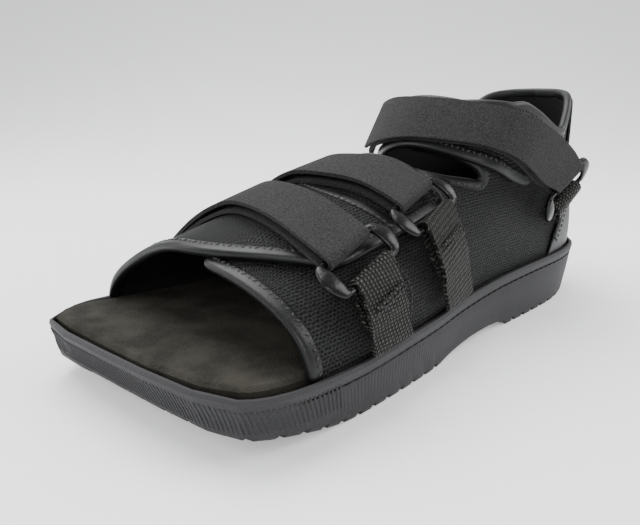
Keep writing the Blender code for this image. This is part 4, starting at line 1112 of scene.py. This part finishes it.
drop_layer = sole_solid.verts.layers.float.new("drop")
count_layer = sole_solid.verts.layers.float.new("rib_count")
rib_layer = sole_solid.verts.layers.float.new("ribbed")
for v in sole_solid.verts:
    corner = smooth_step(0.030, 0.045, v.co.x) * smooth_step(-0.092, -0.105, v.co.y)
    front = smooth_step(-0.094, -0.104, v.co.y)
    v[drop_layer] = sole_rim(v.co.y / MM) - v.co.z / MM + 2.6 * front
    v[count_layer] = way_round(v.co)
    v[rib_layer] = smooth_step(0.0, -0.03, v.co.y) * (1 - 0.75 * corner) * 0.55 * (1 - front)
sole_tree = BVHTree.FromBMesh(sole_solid)
sole = add_piece("sole_rubber_body", sole_solid, ["rubber"], "outsole", smooth=0, sharp=35)
bevel = sole.modifiers.new("worn edges", "BEVEL")
bevel.width = 0.45 * MM
bevel.segments = 2
bevel.limit_method = "ANGLE"
bevel.angle_limit = math.radians(38)
bevel.harden_normals = True

# %% [markdown]
# The stitches of the sole lie in a groove a few millimetres below the rim and join the rim to the upper. They
# start behind the outer toe corner and run round the heel to the inner side.

# %% Sole stitches
bm = bmesh.new()
groove = []
for k in range(0, 721):
    out = wall_hits[k].copy()
    if out.y < -0.094:
        continue
    level = (sole_rim(out.y / MM) - 6.4) * MM
    outward = Vector((out.x, out.y, 0)).normalized()
    hit = sole_tree.ray_cast(Vector((out.x, out.y, level)) + outward * 0.02, -outward, 0.05)[0]
    if hit:
        groove.append((k, hit + Vector((0, 0, 1.4 * MM))))
behind = [hit for k, hit in groove if k < 360]
before = [hit for k, hit in groove if k >= 360]
sole_path = before + behind
dashes = stations_on(evenly(sole_path, 5.0 * MM), sole_tree)
for point, ahead, _, _ in dashes:
    outward = ahead.cross(Vector((0, 0, 1))).normalized()
    outward = outward if outward.dot(Vector((point.x, point.y, 0))) > 0 else -outward
    add_bead(bm, point, ahead, outward, (1.8, 0.45, 0.35))
add_piece("sole_stitches", bm, ["lining"], smooth=0)
print("stitches in the sole:", len(dashes))

# %% [markdown]
# Upright ribs keep a moulded wall from showing scuffs. They are real shapes, so that the wall also looks right in
# a close view: each rib is a row of small ovals carried down the wall, with its back half sunk into it.

# %% Ribs on the toe wall
RIB_PITCH, RIB_TOP, RIB_FOOT = 1.8, 3.2, 15.0


def wall_point(out, drop):
    """Where the sole's wall is, at a drop in mm below the rim, beside a point of the outline."""
    outward = Vector((out.x, out.y, 0)).normalized()
    start = Vector((out.x, out.y, (sole_rim(out.y / MM) - drop) * MM)) + outward * 0.02
    return sole_tree.ray_cast(start, -outward, 0.06)[0]


def rib_rings(spot, ahead):
    """Small ovals down the wall, thin at both ends."""
    outward = ahead.cross(Vector((0, 0, 1))).normalized()
    rings = []
    for drop in (RIB_TOP, RIB_TOP + 0.7, 5.4, 6.6, 8, 11, RIB_FOOT - 0.8, RIB_FOOT):
        swell = 0.2 if drop in (RIB_TOP, RIB_FOOT) else 1
        centre = wall_point(spot, drop)
        if not centre:
            return []
        rings.append([centre + (ahead * 0.5 * math.cos(a) + outward * 0.34 * math.sin(a)) * swell * MM
                      for a in (math.tau * k / 6 for k in range(6))])
    return rings


front_wall = evenly([hit for hit in wall_hits if hit.y < -0.075], RIB_PITCH * MM)
bm = bmesh.new()
ribs_made = 0
for first in range(1, len(front_wall) - 1, 20):
    batch = bmesh.new()
    for k in range(first, min(first + 20, len(front_wall) - 1)):
        rings = rib_rings(front_wall[k], (front_wall[k + 1] - front_wall[k - 1]).normalized())
        if rings:
            sweep(batch, rings)
            ribs_made += 1
    take_in(bm, batch)
bmesh.ops.recalc_face_normals(bm, faces=bm.faces)
for layer in ("drop", "rib_count", "ribbed"):
    values = bm.verts.layers.float.new(layer)
    for v in bm.verts:
        v[values] = 10.0 if layer == "drop" else 0.0
add_piece("sole_ribs", bm, ["rubber"], smooth=0)
print("ribs:", ribs_made)

# %% [markdown]
# ## Footbed
# The footbed lies loose in the cup of the sole and shows at the open toe. Its top edge is cut square and a
# little rounded by use. In front of the upper it spreads out to the rim, where nothing stands between them.

# %% Footbed
insole_solid = copy_of("insole")
for v in insole_solid.verts:
    toe = smooth_step(-0.113, -0.124, v.co.y)
    v.co.x *= 1 + 0.045 * toe
    v.co.y -= 2.6 * MM * toe
bmesh.ops.bevel(
    insole_solid, geom=[e for e in insole_solid.edges if len(e.link_faces) == 2 and e.calc_face_angle() > 0.8],
    offset=0.45 * MM, segments=2, profile=0.5, affect="EDGES", material=-1,
)
add_piece("footbed", insole_solid, ["footbed"], "insole", smooth=0, sharp=24)

# %% [markdown]
# The last lines compare the box of the finished shoe with the box of the solids and print both.

# %% Size and finish
shown_box = [list(corner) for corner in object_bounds()]
for before, after in zip(solid_box, shown_box):
    print("box, mm:", [round(v / MM, 1) for v in before], [round(v / MM, 1) for v in after])
